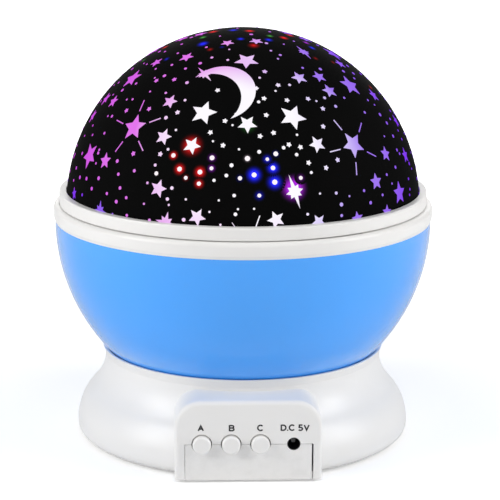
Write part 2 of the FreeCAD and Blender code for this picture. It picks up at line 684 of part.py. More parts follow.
def make_base_plate():
    """White bottom cover with the battery bay, screw cups and the panel's lower half."""
    body = new_body("base_plate")
    side = "tab_width / 2"
    raised(body, "feet_proud", "plate_top", lambda sketch: circle_outline(
        sketch, "0", "0", "plate_radius"))
    raised(body, "feet_proud", "plate_top", lambda sketch: box_outline(
        sketch, f"-{side}", side, "-panel_front", "-panel_front + tab_root"))
    raised(body, "feet_proud", "split_height - seam_left", lambda sketch: box_outline(
        sketch, f"-{side}", side, "-panel_front", "-panel_front + panel_wall"))
    outer = "bay_side + bay_wall"
    raised(body, "plate_top", "bay_top + bay_wall", lambda sketch: box_outline(
        sketch, f"-({outer})", outer, "-bay_half - bay_wall", "bay_half + bay_wall"))
    raised(body, "plate_top", "cup_top", lambda sketch: four_screws(
        sketch, "screw_head + cup_wall"))
    far = "rail_place + rail_width"
    back = "-board_front + board_thick + snug"
    for left, right in ((f"-({far})", "-rail_place"), ("rail_place", far)):
        raised(body, "plate_top", "rail_top", lambda sketch: box_outline(
            sketch, left, right, "-board_front - rail_lip", f"{back} + rail_lip"))
    raised(body, "plate_top", "door_boss_top", lambda sketch: circle_outline(
        sketch, "0", "door_screw_place", "boss_radius"))
    sunk(body, "feet_proud", "bay_top", lambda sketch: box_outline(
        sketch, "-bay_side", "bay_side", "-bay_half", "bay_half"))
    sunk(body, "feet_proud", "plate_top", lambda sketch: box_outline(
        sketch, "-door_side", "door_side", "door_front", "door_back + play"))
    sunk(body, "board_bottom", "rail_top", lambda sketch: box_outline(
        sketch, f"-({far})", far, "-board_front - snug", back))
    for side in ("-1", "1"):
        middle = f"{side} * door_width / 4"
        slot = "(hook_width / 2 + play)"
        sunk(body, "plate_top", "plate_top + hook_room", lambda sketch: box_outline(
            sketch, f"{middle} - {slot}", f"{middle} + {slot}",
            "-bay_half - bay_wall - overcut", "overcut - bay_half"))
    sunk(body, "feet_proud", "cup_seat", lambda sketch: four_screws(
        sketch, "screw_head + play"))
    sunk(body, "cup_seat", "cup_top", lambda sketch: four_screws(
        sketch, "screw_radius + play"))
    sunk(body, "plate_top", "door_boss_top - bay_wall", lambda sketch: circle_outline(
        sketch, "0", "door_screw_place", "screw_radius + snug"))
    sunk(body, "feet_proud", "foot_thick", lambda sketch: four_feet(
        sketch, "foot_radius + snug"))
    forward(body, "Pocket", "panel_front - panel_wall", "panel_front", panel_holes)

    def lead_holes(sketch):
        for across in (CELLS[0], CELLS[-1]):
            circle_outline(sketch, across, "lead_height", "lead_radius + play")
    forward(body, "Pocket", "bay_half", "bay_half + bay_wall", lead_holes)


def make_rubber_feet():
    """Four soft feet set into the bottom cover."""
    corners = [("0", "0"), ("foot_radius - foot_edge", "0"), ("foot_radius", "foot_edge"),
               ("foot_radius", "foot_thick"), ("0", "foot_thick")]
    foot = spun(corners)
    solid_group("rubber_feet", [
        moved(foot, across, along) for across in ("foot_place", "-foot_place")
        for along in ("foot_place", "-foot_place")])


def screw(head, shank, head_bottom, head_top, tip):
    """Give a screw that points up: a head and a plain shank with a coned tip."""
    return spun([
        ("0", head_bottom), (head, head_bottom), (head, head_top), (shank, head_top),
        (shank, f"({tip}) - ({shank})"), ("0.2", tip), ("0", tip)])


def make_case_screws():
    """Four screws that hold the bottom cover to the base."""
    one = screw("screw_head", "screw_radius", "cup_seat - screw_head_thick", "cup_seat",
                "deck_under - boss_cap - tip_gap")
    solid_group("case_screws", [
        moved(one, across, along) for across in ("screw_x", "-screw_x")
        for along in ("screw_y", "-screw_y")])


def make_battery_door():
    """Door over the cells, hooked at its front edge and screwed at its back."""
    body = new_body("battery_door")
    half = "door_width / 2"
    raised(body, "feet_proud", "door_top", lambda sketch: box_outline(
        sketch, f"-{half}", half, "door_front + play", "door_back"))
    stem = "door_front + play + hook_web"
    for side in ("-1", "1"):
        sketch = sketch_on(body, "YZ_Plane", f"{side} * door_width / 4 - hook_width / 2")
        outline(sketch, [
            (stem, "door_top - overcut"),
            (stem, "plate_top + play + hook_thick"),
            ("door_front - hook_reach", "plate_top + play + hook_thick"),
            ("door_front - hook_reach", "plate_top + play"),
            ("door_front", "plate_top + play", "play", "right"),
            ("door_front + play", "plate_top"),
            ("door_front + play", "door_top - overcut"),
        ])
        feature(body, "Pad", sketch, "hook_width")
    sketch = sketch_on(body, "YZ_Plane", f"-{half} - overcut")
    outline(sketch, [
        ("door_front", "feet_proud - play"),
        ("door_front + play + door_bevel * (1 + play / door_thick)", "feet_proud - play"),
        ("door_front + play", "door_top"),
        ("door_front", "door_top"),
    ])
    feature(body, "Pocket", sketch, "door_width + 2 * overcut", reverse=True)
    sunk(body, "feet_proud", "door_top", lambda sketch: circle_outline(
        sketch, "0", "door_screw_place", "screw_radius + play"))
    sunk(body, "feet_proud", "feet_proud + door_sink", lambda sketch: circle_outline(
        sketch, "0", "door_screw_place", "screw_head + play"))

    def grips(sketch):
        for step in range(int(value("grip_count"))):
            place = f"door_back - grip_place - {step} * grip_pitch"
            box_outline(sketch, "-grip_length / 2", "grip_length / 2", place,
                        f"{place} + grip_width")
    sunk(body, "feet_proud", "feet_proud + grip_depth", grips)


def make_door_screw():
    """Screw that keeps the battery door shut."""
    one = screw("screw_head", "screw_radius", "feet_proud + seat_gap", "feet_proud + door_sink",
                "plate_top + door_screw_reach")
    solid_group("door_screw", [moved(one, "0", "door_screw_place")])


def make_cells():
    """Four AAA cells, side by side, every other one turned round."""
    nub = "cell_length + cell_nub"
    cell = spun([("0", "0"), ("cell_radius - cell_edge", "0"), ("cell_radius", "cell_edge"),
                 ("cell_radius", "cell_length - cell_edge"),
                 ("cell_radius - cell_edge", "cell_length"),
                 ("nub_radius", "cell_length"), ("nub_radius", nub), ("0", nub)])
    cells = []
    for number, across in enumerate(CELLS):
        lying = cell.copy()
        turn = 90 if number % 2 else -90
        lying.rotate(FreeCAD.Vector(0, 0, 0), FreeCAD.Vector(1, 0, 0), turn)
        along = f"({nub}) / 2" if number % 2 else f"-({nub}) / 2"
        cells.append(moved(lying, across, along, "cell_axis"))
    solid_group("battery_cells", cells)


def make_battery_contacts():
    """Contact strips at both ends of the bay, with a bent tongue for each cell."""
    for name, side in (("front_contacts", "-1"), ("back_contacts", "1")):
        strips = []
        for across in CELLS:
            outer = f"{side} * bay_half"
            inner = f"{side} * (bay_half - contact_thick)"
            tongue = f"{side} * ((cell_length + cell_nub) / 2 + play)"
            low = "cell_axis - contact_drop"
            high = "cell_axis + contact_rise"
            profile = [(outer, low), (inner, low), (inner, "cell_axis - contact_drop / 2"),
                       (tongue, "cell_axis"), (inner, high), (outer, high)]
            left = value(f"{across} - contact_width / 2")
            points = [FreeCAD.Vector(left, value(y), value(height)) for y, height in profile]
            strip = Part.Face(Part.makePolygon(points + points[:1]))
            strips.append(strip.extrude(FreeCAD.Vector(value("contact_width"), 0, 0)))
        solid_group(name, strips)


def make_control_board():
    """Upright circuit board behind the control panel."""
    body = new_body("control_board")
    forward(body, "Pad", "board_front - board_thick", "board_front", lambda sketch: box_outline(
        sketch, "-board_width / 2", "board_width / 2", "board_bottom", "board_top"))


def make_push_switches():
    """Three square push switches on the control board, open at the front."""
    for letter, across in BUTTONS.items():
        body = new_body("push_switch_" + letter)
        half = "switch_size / 2"
        forward(body, "Pad", "board_front", "switch_front", lambda sketch: box_outline(
            sketch, f"{across} - {half}", f"{across} + {half}",
            f"split_height - {half}", f"split_height + {half}"))
        hole = "plunger_width / 2 + play"
        forward(body, "Pocket", "board_front + switch_floor", "switch_front", lambda sketch: box_outline(
            sketch, f"{across} - ({hole})", f"{across} + {hole}",
            f"split_height - ({hole})", f"split_height + {hole}"))


def make_buttons():
    """Three round caps, each on the square plunger of its switch."""
    for letter, across in BUTTONS.items():
        body = new_body("button_" + letter)
        face = "panel_front + button_proud"
        pad = forward(body, "Pad", "button_back", face, lambda sketch: circle_outline(
            sketch, across, "split_height", "button_radius"))
        rounded(body, pad, "button_edge", lambda edge: abs(
            edge.BoundBox.YMin + value(face)) < CLOSE and len(edge.Vertexes) == 1)
        half = "plunger_width / 2 + snug"
        forward(body, "Pocket", "button_back", "button_back + button_socket", lambda sketch: box_outline(
            sketch, f"{across} - ({half})", f"{across} + {half}",
            f"split_height - ({half})", f"split_height + {half}"))
        plunger = new_body("plunger_" + letter)
        half = "plunger_width / 2"
        forward(plunger, "Pad", "board_front + switch_floor + button_travel + play",
                "button_back + button_socket", lambda sketch: box_outline(
                    sketch, f"{across} - {half}", f"{across} + {half}",
                    f"split_height - {half}", f"split_height + {half}"))


def make_dc_jack():
    """Black power jack behind the panel, with its centre pin."""
    body = new_body("dc_jack")
    face = "panel_front - panel_wall - seat_gap"
    half = "jack_width / 2"
    forward(body, "Pad", "board_front", face, lambda sketch: box_outline(
        sketch, f"jack_across - {half}", f"jack_across + {half}",
        "split_height - jack_height / 2", "split_height + jack_height / 2"))
    forward(body, "Pocket", "board_front + jack_floor", face, lambda sketch: circle_outline(
        sketch, "jack_across", "split_height", "jack_radius - jack_lip"))
    pin = new_body("dc_jack_pin")
    forward(pin, "Pad", "board_front + jack_floor", f"{face} - pin_inset", lambda sketch: circle_outline(
        sketch, "jack_across", "split_height", "jack_pin"))


def make_gear_motor():
    """Flat gear motor under the deck, with two screw ears."""
    body = new_body("gear_motor")
    raised(body, "motor_bottom", "motor_top", lambda sketch: circle_outline(
        sketch, "gear_distance", "0", "motor_radius"))
    ear = "small_head + ear_margin"
    raised(body, "motor_top - ear_thick", "motor_top", lambda sketch: outline(sketch, [
        (f"gear_distance - ({ear})", "-motor_ear"),
        (f"gear_distance + {ear}", "-motor_ear"),
        (f"gear_distance + {ear}", "motor_ear", ear, "left"),
        ("gear_distance", f"motor_ear + {ear}", ear, "left"),
        (f"gear_distance - ({ear})", "motor_ear"),
    ]))
    raised(body, "motor_top - ear_thick", "motor_top", lambda sketch: circle_outline(
        sketch, "gear_distance", "-motor_ear", ear))

    def holes(sketch):
        for along in ("motor_ear", "-motor_ear"):
            circle_outline(sketch, "gear_distance", along, "small_screw + snug")
    sunk(body, "motor_top - ear_thick", "motor_top", holes)
    sunk(body, "motor_top - shaft_depth", "motor_top", lambda sketch: circle_outline(
        sketch, "gear_distance", "0", "motor_shaft_radius + snug"))


def make_small_screws():
    """Screws of the motor, the ring gear and the lamp board."""
    under = "motor_top - ear_thick"
    one = screw("small_head", "small_screw", f"{under} - small_head_thick", under,
                "deck_top - 2 * seat_gap")
    solid_group("motor_screws", [
        moved(one, "gear_distance", along) for along in ("motor_ear", "-motor_ear")])
    seat = "gear_bottom + gear_sink"
    one = screw("small_head", "small_screw", f"{seat} - small_head_thick", seat,
                "gear_boss_top - gear_boss_roof - seat_gap")
    solid_group("gear_screws", [moved(one, across, along) for across, along in GEAR_SCREWS])
    one = spun([("0", "post_plate_bottom - small_screw"), ("small_screw", "post_plate_bottom"),
                ("small_screw", "led_board_top"), ("small_head", "led_board_top"),
                ("small_head", "led_board_top + small_head_thick / 2"),
                ("small_screw", "led_board_top + small_head_thick"),
                ("0", "led_board_top + small_head_thick")])
    solid_group("board_screws", [moved(one, across) for across in ("board_screw", "-board_screw")])


# Places along a tooth's flank, from its start to its tip
FLANK = (0.0, 0.35, 0.7, 1.0)


def involute(base, radius):
    """Give the angle, in radians, that an involute has swung through at a radius."""
    slope = math.acos(min(base / radius, 1.0))
    return math.tan(slope) - slope


def gear_outline(teeth, shift, turn):
    """Give the closed wire of a spur gear with involute flanks, one tooth centred on turn."""
    module = value("module")
    slope = math.radians(value("pressure_angle"))
    pitch = module * teeth / 2
    base = pitch * math.cos(slope)
    tip = pitch + module * (1 + shift)
    root = pitch - module * (value("tooth_root") - shift)
    thick = module * (math.pi / 2 + 2 * shift * math.tan(slope)) - value("tooth_gap")
    half = thick / (2 * pitch) + involute(base, pitch)
    start = max(base, root)
    flank = [start + (tip - start) * share for share in FLANK]
    side = [(radius, half - involute(base, radius)) for radius in flank]
    if root < base:
        side.insert(0, (root, half))
    points = []
    for tooth in range(teeth):
        middle = math.radians(turn) + 2 * math.pi * tooth / teeth
        swung = [(radius, middle - angle) for radius, angle in side]
        swung += [(radius, middle + angle) for radius, angle in reversed(side)]
        points += [FreeCAD.Vector(radius * math.cos(angle), radius * math.sin(angle), 0)
                   for radius, angle in swung]
    return Part.makePolygon(points + points[:1])


def make_gears():
    """Ring gear under the bowl and the small pinion that drives it."""
    teeth = int(value("ring_teeth"))
    shift = value("tooth_shift")
    thick = value("gear_thick")
    wheel = Part.Face(gear_outline(teeth, -shift, 0)).extrude(FreeCAD.Vector(0, 0, thick))
    wheel = wheel.cut(Part.makeCylinder(value("gear_bore"), thick))
    shank = Part.makeCylinder(value("small_screw + snug"), thick)
    head = Part.makeCylinder(value("small_head + snug"), value("gear_sink"))
    for across, along in GEAR_SCREWS:
        wheel = wheel.cut(moved(shank, across, along)).cut(moved(head, across, along))
    gear = document.addObject("Part::Feature", "ring_gear")
    gear.Label = "ring_gear"
    gear.Shape = wheel
    gear.Placement.Base.z = value("gear_bottom")
    small = int(value("pinion_teeth"))
    turn = 180 + 180 / small
    height = value("gear_thick - play")
    drive = Part.Face(gear_outline(small, shift, turn)).extrude(FreeCAD.Vector(0, 0, height))
    drive = drive.cut(Part.makeCylinder(value("motor_shaft_radius + snug"), height))
    pinion = document.addObject("Part::Feature", "drive_pinion")
    pinion.Label = "drive_pinion"
    pinion.Shape = drive
    pinion.Placement.Base = FreeCAD.Vector(value("gear_distance"), 0, value("gear_bottom"))
    shaft = document.addObject("Part::Cylinder", "motor_shaft")
    shaft.Label = "motor_shaft"
    shaft.setExpression("Radius", bind("motor_shaft_radius"))
    foot = "motor_top - shaft_depth + seat_gap"
    shaft.setExpression("Height", bind(f"gear_bottom + gear_thick - play - ({foot})"))
    shaft.setExpression("Placement.Base.x", bind("gear_distance"))
    shaft.setExpression("Placement.Base.z", bind(foot))


def make_bearing():
    """Thrust washer under the bowl's hub and the split ring that keeps the bowl down."""
    turned("thrust_washer", [
        ("spindle_radius + snug", "shoulder_top"),
        ("hub_radius", "shoulder_top"),
        ("hub_radius", "bowl_bottom - washer_gap"),
        ("spindle_radius + snug", "bowl_bottom - washer_gap"),
    ])
    body = new_body("retaining_ring")
    inner = "spindle_radius - clip_depth + snug"
    for middle, width in (("90", "170"), ("-60", "134")):
        raised(body, "clip_bottom", "clip_bottom + clip_thick", lambda sketch: sector_outline(
            sketch, inner, "spindle_radius + clip_proud", middle, width))


def make_bowl_shell():
    """Blue bowl: part of a sphere with a flat floor, a hub and a stepped rim."""
    under = "ledge_top - ledge_height - ledge_slope"
    body = turned("bowl_shell", [
        ("hub_bore", "bowl_bottom"),
        ("sqrt(bowl_radius^2 - (bowl_centre - bowl_bottom)^2)", "bowl_bottom",
         "bowl_radius", "left"),
        ("sqrt(bowl_radius^2 - ring_drop^2)", "ring_bottom"),
        ("spigot_radius", "ring_bottom"),
        ("spigot_radius", "spigot_top"),
        ("bowl_inside", "spigot_top"),
        ("bowl_inside", "ledge_top"),
        ("ledge_radius", "ledge_top"),
        ("ledge_radius", "ledge_top - ledge_height"),
        (f"sqrt(bowl_inside^2 - ({under} - bowl_centre)^2)", under, "bowl_inside", "right"),
        ("sqrt(bowl_inside^2 - (bowl_centre - floor_top)^2)", "floor_top"),
        ("hub_radius", "floor_top"),
        ("hub_radius", "hub_top"),
        ("hub_bore", "hub_top"),
    ])
    raised(body, "floor_top", "gear_boss_top", lambda sketch: gear_screws(
        sketch, "small_head + gear_boss_wall"))
    sunk(body, "bowl_bottom", "gear_boss_top - gear_boss_roof", lambda sketch: gear_screws(
        sketch, "small_screw + snug"))


def make_rim_ring():
    """Wide white band on the bowl, with the bayonet channel inside it."""
    body = turned("rim_ring", [
        ("spigot_radius + snug", "ring_bottom"),
        ("ring_radius - ring_draft", "ring_bottom"),
        ("ring_radius", "ring_bottom + ring_draft_height"),
        ("ring_radius", "ring_top - ring_shoulder", "ring_shoulder", "left"),
        ("ring_radius - ring_shoulder", "ring_top"),
        ("lip_inside", "ring_top"),
        ("lip_inside", "lip_bottom"),
        ("channel_radius", "lip_bottom"),
        ("channel_radius", "shelf_top"),
        ("skirt_inside - shelf_inset", "shelf_top"),
        ("skirt_inside - shelf_inset", "shelf_bottom"),
        ("spigot_radius + snug", "shelf_bottom"),
    ])
    slot = sketch_on(body, "XY_Plane", "ring_top")
    sector_outline(slot, "lip_inside - overcut", "channel_radius", "tab_place + twist",
                   "tab_angle + 2 * slot_margin")
    repeat(body, feature(body, "Pocket", slot, "lip_thick"), TABS)
    beside = "(tab_angle / 2 + slot_margin)"
    for middle in (f"tab_place - {beside}", f"tab_place + twist + {beside}"):
        stop = sketch_on(body, "XY_Plane", "shelf_top")
        sector_outline(stop, "lip_inside", "channel_radius + snug", middle, "stop_angle")
        repeat(body, feature(body, "Pad", stop, "lip_bottom - shelf_top"), TABS)


def make_dome_collar():
    """Narrow white band that holds the dome and twists into the wide band."""
    body = turned("dome_collar", [
        ("dome_inside - collar_lip", "bayonet_bottom"),
        ("skirt_outside", "bayonet_bottom"),
        ("skirt_outside", "band_bottom"),
        ("band_radius", "band_bottom"),
        ("band_radius", "band_top - band_edge", "band_edge", "left"),
        ("band_radius - band_edge", "band_top"),
        ("band_throat", "band_top"),
        ("dome_radius + play", "dome_step_top - play"),
        ("skirt_inside", "dome_step_top - play"),
        ("skirt_inside", "dome_bottom - seat_gap"),
        ("dome_inside - collar_lip", "dome_bottom - seat_gap"),
    ])
    tab = sketch_on(body, "XY_Plane", "bayonet_bottom")
    sector_outline(tab, "skirt_outside - collar_lip", "bayonet_reach", "tab_place", "tab_angle")
    repeat(body, feature(body, "Pad", tab, "tab_thick"), TABS)


def make_dome_shell():
    """Black dome: half a sphere with a stepped edge that sits in the collar."""
    turned("dome_shell", [
        ("0", "dome_centre + dome_inside", "dome_inside", "right"),
        ("sqrt(dome_inside^2 - (dome_bottom - dome_centre)^2)", "dome_bottom"),
        ("dome_rim", "dome_bottom"),
        ("dome_rim", "dome_step_top"),
        ("sqrt(dome_radius^2 - (dome_step_top - dome_centre)^2)", "dome_step_top",
         "dome_radius", "left"),
        ("0", "dome_centre + dome_radius"),
    ])


def make_light_deck():
    """White dished reflector that closes the bowl under the dome."""
    thick = "light_deck_thick"
    floor = "ledge_top - light_deck_drop"
    turned("light_deck", [
        ("light_deck_hole", floor),
        ("light_deck_hole + light_deck_flat", floor),
        ("ledge_radius - light_deck_edge", "ledge_top - play"),
        ("ledge_radius - play", "ledge_top"),
        ("bowl_inside - seat_gap", "ledge_top"),
        ("bowl_inside - seat_gap", "spigot_top"),
        ("ledge_radius - light_deck_edge - play", "spigot_top"),
        ("light_deck_hole + light_deck_flat", f"{floor} + {thick}"),
        (f"light_deck_hole + {thick}", f"{floor} + {thick}"),
        (f"light_deck_hole + {thick}", f"{floor} + 2 * {thick}"),
        ("light_deck_hole", f"{floor} + 2 * {thick}"),
    ])


def make_lamp_post():
    """White post, plugged into the spindle, that carries the lamp board."""
    body = turned("lamp_post", [
        ("post_bore", "spindle_top - post_spigot"),
        ("spindle_bore - snug", "spindle_top - post_spigot"),
        ("spindle_bore - snug", "spindle_top"),
        ("post_radius", "spindle_top"),
        ("post_radius", "post_plate_bottom - post_flare"),
        ("post_plate", "post_plate_bottom"),
        ("post_plate", "led_board_bottom"),
        ("post_bore + post_funnel", "led_board_bottom"),
        ("post_bore", "led_board_bottom - post_funnel"),
    ])
    sunk(body, "post_plate_bottom - post_screw_depth", "led_board_bottom", board_screws)


def make_led_board():
    """Round lamp board on top of the post."""
    body = new_body("led_board")
    raised(body, "led_board_bottom", "led_board_top", lambda sketch: circle_outline(
        sketch, "0", "0", "led_board_radius"))
    sunk(body, "led_board_bottom", "led_board_top", board_screws)


def make_leds():
    """Four lamps: a white one in the middle and a coloured one at each third of a turn."""
    places = {
        "led_white": ("0", "0"),
        "led_red": ("led_ring * cos(150)", "led_ring * sin(150)"),
        "led_green": ("led_ring * cos(270)", "led_ring * sin(270)"),
        "led_blue": ("led_ring * cos(30)", "led_ring * sin(30)"),
    }
    for name, (across, along) in places.items():
        body = turned(name, [
            ("0", "led_board_top"),
            ("led_radius + led_flange", "led_board_top"),
            ("led_radius + led_flange", "led_board_top + led_flange_thick"),
            ("led_radius", "led_board_top + led_flange_thick"),
            ("led_radius", "led_board_top + led_height - led_radius", "led_radius", "left"),
            ("0", "led_board_top + led_height"),
        ])
        body.setExpression("Placement.Base.x", bind(across))
        body.setExpression("Placement.Base.y", bind(along))


def wire(points, radius, bend):
    """Sweep a round wire along straight runs, with one bend at each corner.

    A point is three expressions. The bend touches both runs, bend / tan(half the angle between
    them) from the corner, and its middle lies bend / sin(half the angle) - bend from the corner.
    """
    corners = [FreeCAD.Vector(*(value(text) for text in point)) for point in points]
    radius, bend = value(radius), value(bend)
    start = corners[0]
    runs = []
    for before, corner, after in zip(corners, corners[1:], corners[2:]):
        back = (before - corner).normalize()
        ahead = (after - corner).normalize()
        half = back.getAngle(ahead) / 2
        enter = corner + back * (bend / math.tan(half))
        leave = corner + ahead * (bend / math.tan(half))
        middle = corner + (back + ahead).normalize() * (bend / math.sin(half) - bend)
        runs.append(Part.LineSegment(start, enter).toShape())
        runs.append(Part.Arc(enter, middle, leave).toShape())
        start = leave
    runs.append(Part.LineSegment(start, corners[-1]).toShape())
    path = Part.Wire(runs)
    ring = Part.Circle(corners[0], corners[1] - corners[0], radius).toShape()
    swept = path.makePipeShell([Part.Wire([ring])], True, False)
    expected = math.pi * radius ** 2 * path.Length
    print(f"wire volume {swept.Volume:.1f}, section times length {expected:.1f}")
    return swept


def make_wires():
    """Wires from the control board to the lamps, the motor and the batteries."""
    board_back = "-board_front + board_thick"
    level = "deck_under - wire_radius - wire_gap"
    solid_group("lamp_wires", [wire([
        ("0", board_back, level), ("0", "0", level), ("0", "0", "led_board_bottom"),
    ], "wire_radius", "wire_bend")])
    turn = "-bay_half - lead_turn"
    leads = []
    for inward in ("0", "lead_pitch"):
        across = f"gear_distance - lead_inset - {inward}"
        height = f"lead_height + 2 * lead_pitch - {inward}"
        leads.append(wire([
            (across, "0", "motor_bottom"), (across, "0", "motor_bottom - lead_drop"),
            (across, turn, "motor_bottom - lead_drop"), (across, turn, height),
            ("lead_landing", turn, height), ("lead_landing", board_back, height),
        ], "lead_radius", "lead_bend"))
    solid_group("motor_leads", leads)
    solid_group("battery_leads", [wire([
        (across, "-bay_half", "lead_height"), (across, board_back, "lead_height"),
    ], "lead_radius", "lead_bend") for across in (CELLS[0], CELLS[-1])])


def write_parts():
    """Check every object of the document and write each piece to its own file."""
    document.recompute()
    for item in document.Objects:
        if "Invalid" in item.State or "Error" in item.State:
            raise RuntimeError(f"{item.Name} failed: {item.State}")
    pieces = [item for item in document.Objects
              if item.TypeId in ("PartDesign::Body", "Part::Feature", "Part::Cylinder")]
    for piece in pieces:
        if piece.Shape.isNull() or not piece.Shape.isValid():
            raise RuntimeError(f"{piece.Label} has no valid shape")
        piece.Shape.exportStep(f"parts/{piece.Label}.step")
        count = len(piece.Shape.Solids)
        print(f"{piece.Label:18} {count} solids, {piece.Shape.Volume:10.1f} mm3")


make_base_housing()
make_base_plate()
make_rubber_feet()
make_case_screws()
make_battery_door()
make_door_screw()
make_cells()
make_battery_contacts()
make_control_board()
make_push_switches()
make_buttons()
make_dc_jack()
make_gear_motor()
make_small_screws()
make_gears()
make_bearing()
make_bowl_shell()
make_rim_ring()
make_dome_collar()
make_dome_shell()
make_light_deck()
make_lamp_post()
make_led_board()
make_leds()
make_wires()
write_parts()
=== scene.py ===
"""Looks of the star night light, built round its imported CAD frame."""
import bmesh
import bpy
import numpy as np
from mathutils import Matrix, Vector


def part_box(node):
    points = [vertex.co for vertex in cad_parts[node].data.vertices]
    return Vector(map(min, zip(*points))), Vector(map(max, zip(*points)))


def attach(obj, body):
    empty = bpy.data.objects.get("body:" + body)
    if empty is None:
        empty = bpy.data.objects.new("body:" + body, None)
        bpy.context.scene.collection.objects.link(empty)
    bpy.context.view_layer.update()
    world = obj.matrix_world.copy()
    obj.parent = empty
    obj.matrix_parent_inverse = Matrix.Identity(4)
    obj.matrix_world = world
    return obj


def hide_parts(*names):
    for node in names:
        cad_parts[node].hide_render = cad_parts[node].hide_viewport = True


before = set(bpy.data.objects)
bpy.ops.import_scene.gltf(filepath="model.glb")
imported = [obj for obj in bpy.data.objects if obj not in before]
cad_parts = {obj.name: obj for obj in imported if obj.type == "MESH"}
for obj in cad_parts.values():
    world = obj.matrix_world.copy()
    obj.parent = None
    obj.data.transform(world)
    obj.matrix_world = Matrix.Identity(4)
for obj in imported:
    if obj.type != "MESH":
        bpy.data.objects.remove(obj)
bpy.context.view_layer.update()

# Camera
# The photograph's viewing angle, from a little above the lamp through a long lens. Place, heading and
# tilt come from a pinhole camera fitted to the lamp's outline.
FRAME_WIDTH = 500.0
SENSOR = 36.0
FOCAL = 2031.5
CAMERA_PLACE = (-0.02217, -0.63141, 0.2125)
CAMERA_HEADING = 2.218
CAMERA_TILT = 13.665
CAMERA_ROLL = 0.246
camera = bpy.data.objects.new("camera", bpy.data.cameras.new("camera"))
bpy.context.scene.collection.objects.link(camera)
camera.data.sensor_width = SENSOR
camera.data.lens = SENSOR * FOCAL / FRAME_WIDTH
camera.data.clip_end = 20.0
camera.matrix_world = (Matrix.Translation(CAMERA_PLACE)
                       @ Matrix.Rotation(np.radians(-CAMERA_HEADING), 4, "Z")
                       @ Matrix.Rotation(np.radians(90 - CAMERA_TILT), 4, "X")
                       @ Matrix.Rotation(np.radians(CAMERA_ROLL), 4, "Z"))
bpy.context.scene.camera = camera


# Light
# A photographer's light tent: a tall soft box at each side, wide ones in front and behind, a square
# one above, and pale walls. The walls are white to the camera and greyer to the lamp.
LAMP_MIDDLE = (0, 0, 0.06)


def soft_box(name, place, size, power):
    """Hang one soft box at a place, facing the middle of the lamp."""
    lamp = bpy.data.lights.new(name, "AREA")
    lamp.shape = "RECTANGLE"
    lamp.size, lamp.size_y = size
    lamp.energy = power
    box = bpy.data.objects.new(name, lamp)
    bpy.context.scene.collection.objects.link(box)
    box.location = place
    box.rotation_euler = (Vector(LAMP_MIDDLE) - Vector(place)).to_track_quat("-Z", "Y").to_euler()


soft_box("soft_box_left", (-0.70, -0.28, 0.42), (0.40, 0.55), 4.2)
soft_box("soft_box_right", (0.74, -0.24, 0.42), (0.40, 0.55), 4.2)
soft_box("soft_box_front", (0.05, -1.50, 0.42), (1.3, 0.5), 2.8)
soft_box("soft_box_top", (0.0, 0.20, 1.20), (0.9, 0.9), 1.6)
soft_box("soft_box_back", (0.10, 1.40, 0.45), (1.3, 0.5), 2.6)
bpy.context.scene.view_settings.view_transform = "Standard"


class Socket:
    """An output of a shader node that adds, subtracts and multiplies like a number."""

    def __init__(self, shader, link):
        self.shader = shader
        self.link = link

    def maths(self, operation, *others):
        return self.shader.node("ShaderNodeMath", {"operation": operation}, [self, *others])

    def clamped(self):
        return self.shader.node("ShaderNodeClamp", inputs=[self, 0.0, 1.0])

    def __add__(self, other):
        return self.maths("ADD", other)

    def __sub__(self, other):
        return self.maths("SUBTRACT", other)

    def __mul__(self, other):
        return self.maths("MULTIPLY", other)

    def __truediv__(self, other):
        return self.maths("DIVIDE", other)

    def __rsub__(self, other):
        return self * -1 + other

    __radd__ = __add__
    __rmul__ = __mul__


class Shader:
    """The nodes of one material or world."""

    def __init__(self, block):
        block.use_nodes = True
        self.block = block
        self.tree = block.node_tree
        self.tree.nodes.clear()

    def node(self, kind, settings=None, inputs=(), output=0):
        """Add a node with its settings, stops and inputs, and give back one of its outputs."""
        node = self.tree.nodes.new(kind)
        for name, setting in (settings or {}).items():
            if name == "stops":
                for _ in setting[2:]:
                    node.color_ramp.elements.new(0.5)
                for stop, (position, colour) in zip(node.color_ramp.elements, setting):
                    stop.position = position
                    stop.color = colour
                node.color_ramp.interpolation = "CONSTANT"
            else:
                setattr(node, name, setting)
        pairs = inputs.items() if isinstance(inputs, dict) else enumerate(inputs)
        for key, value in pairs:
            if isinstance(value, Socket):
                self.tree.links.new(value.link, node.inputs[key])
            else:
                node.inputs[key].default_value = value
        return Socket(self, node.outputs[output] if node.outputs else node)


def blend(amount, first, second):
    """One colour over another, by a share that runs from 0 to 1."""
    return amount.shader.node("ShaderNodeMix", {"data_type": "RGBA"},
                              {0: amount, 6: first, 7: second}, output=2)


WALL_GREY = (0.30, 0.30, 0.30, 1)
WALL_WHITE = (1, 1, 1, 1)
MIRRORED_SHARE = 0.55
world = bpy.data.worlds.new("light_tent")
bpy.context.scene.world = world
tent = Shader(world)
seen = tent.node("ShaderNodeLightPath", output="Is Camera Ray")
mirrored = tent.node("ShaderNodeLightPath", output="Is Glossy Ray")
through = tent.node("ShaderNodeLightPath", output="Is Transmission Ray")
white = seen.maths("MAXIMUM", mirrored * MIRRORED_SHARE).maths("MAXIMUM", through)
walls = blend(white, WALL_GREY, WALL_WHITE)
sky = tent.node("ShaderNodeBackground", inputs=[walls, 1.0])
tent.node("ShaderNodeOutputWorld", inputs=[sky])


# Floor
# A sheet of pale paper that runs out of sight and shows the lamp's soft shadow. To the camera it
# glows, and more so further from the lamp, until it is as white as the walls.
REACH = 4000.0
PAPER_SHADE = (0.33, 0.33, 0.33, 1)
SHADE_REACH = 0.08
SHADE_FADE = 3


def material(name):
    """Start an empty material."""
    return Shader(bpy.data.materials.new(name))


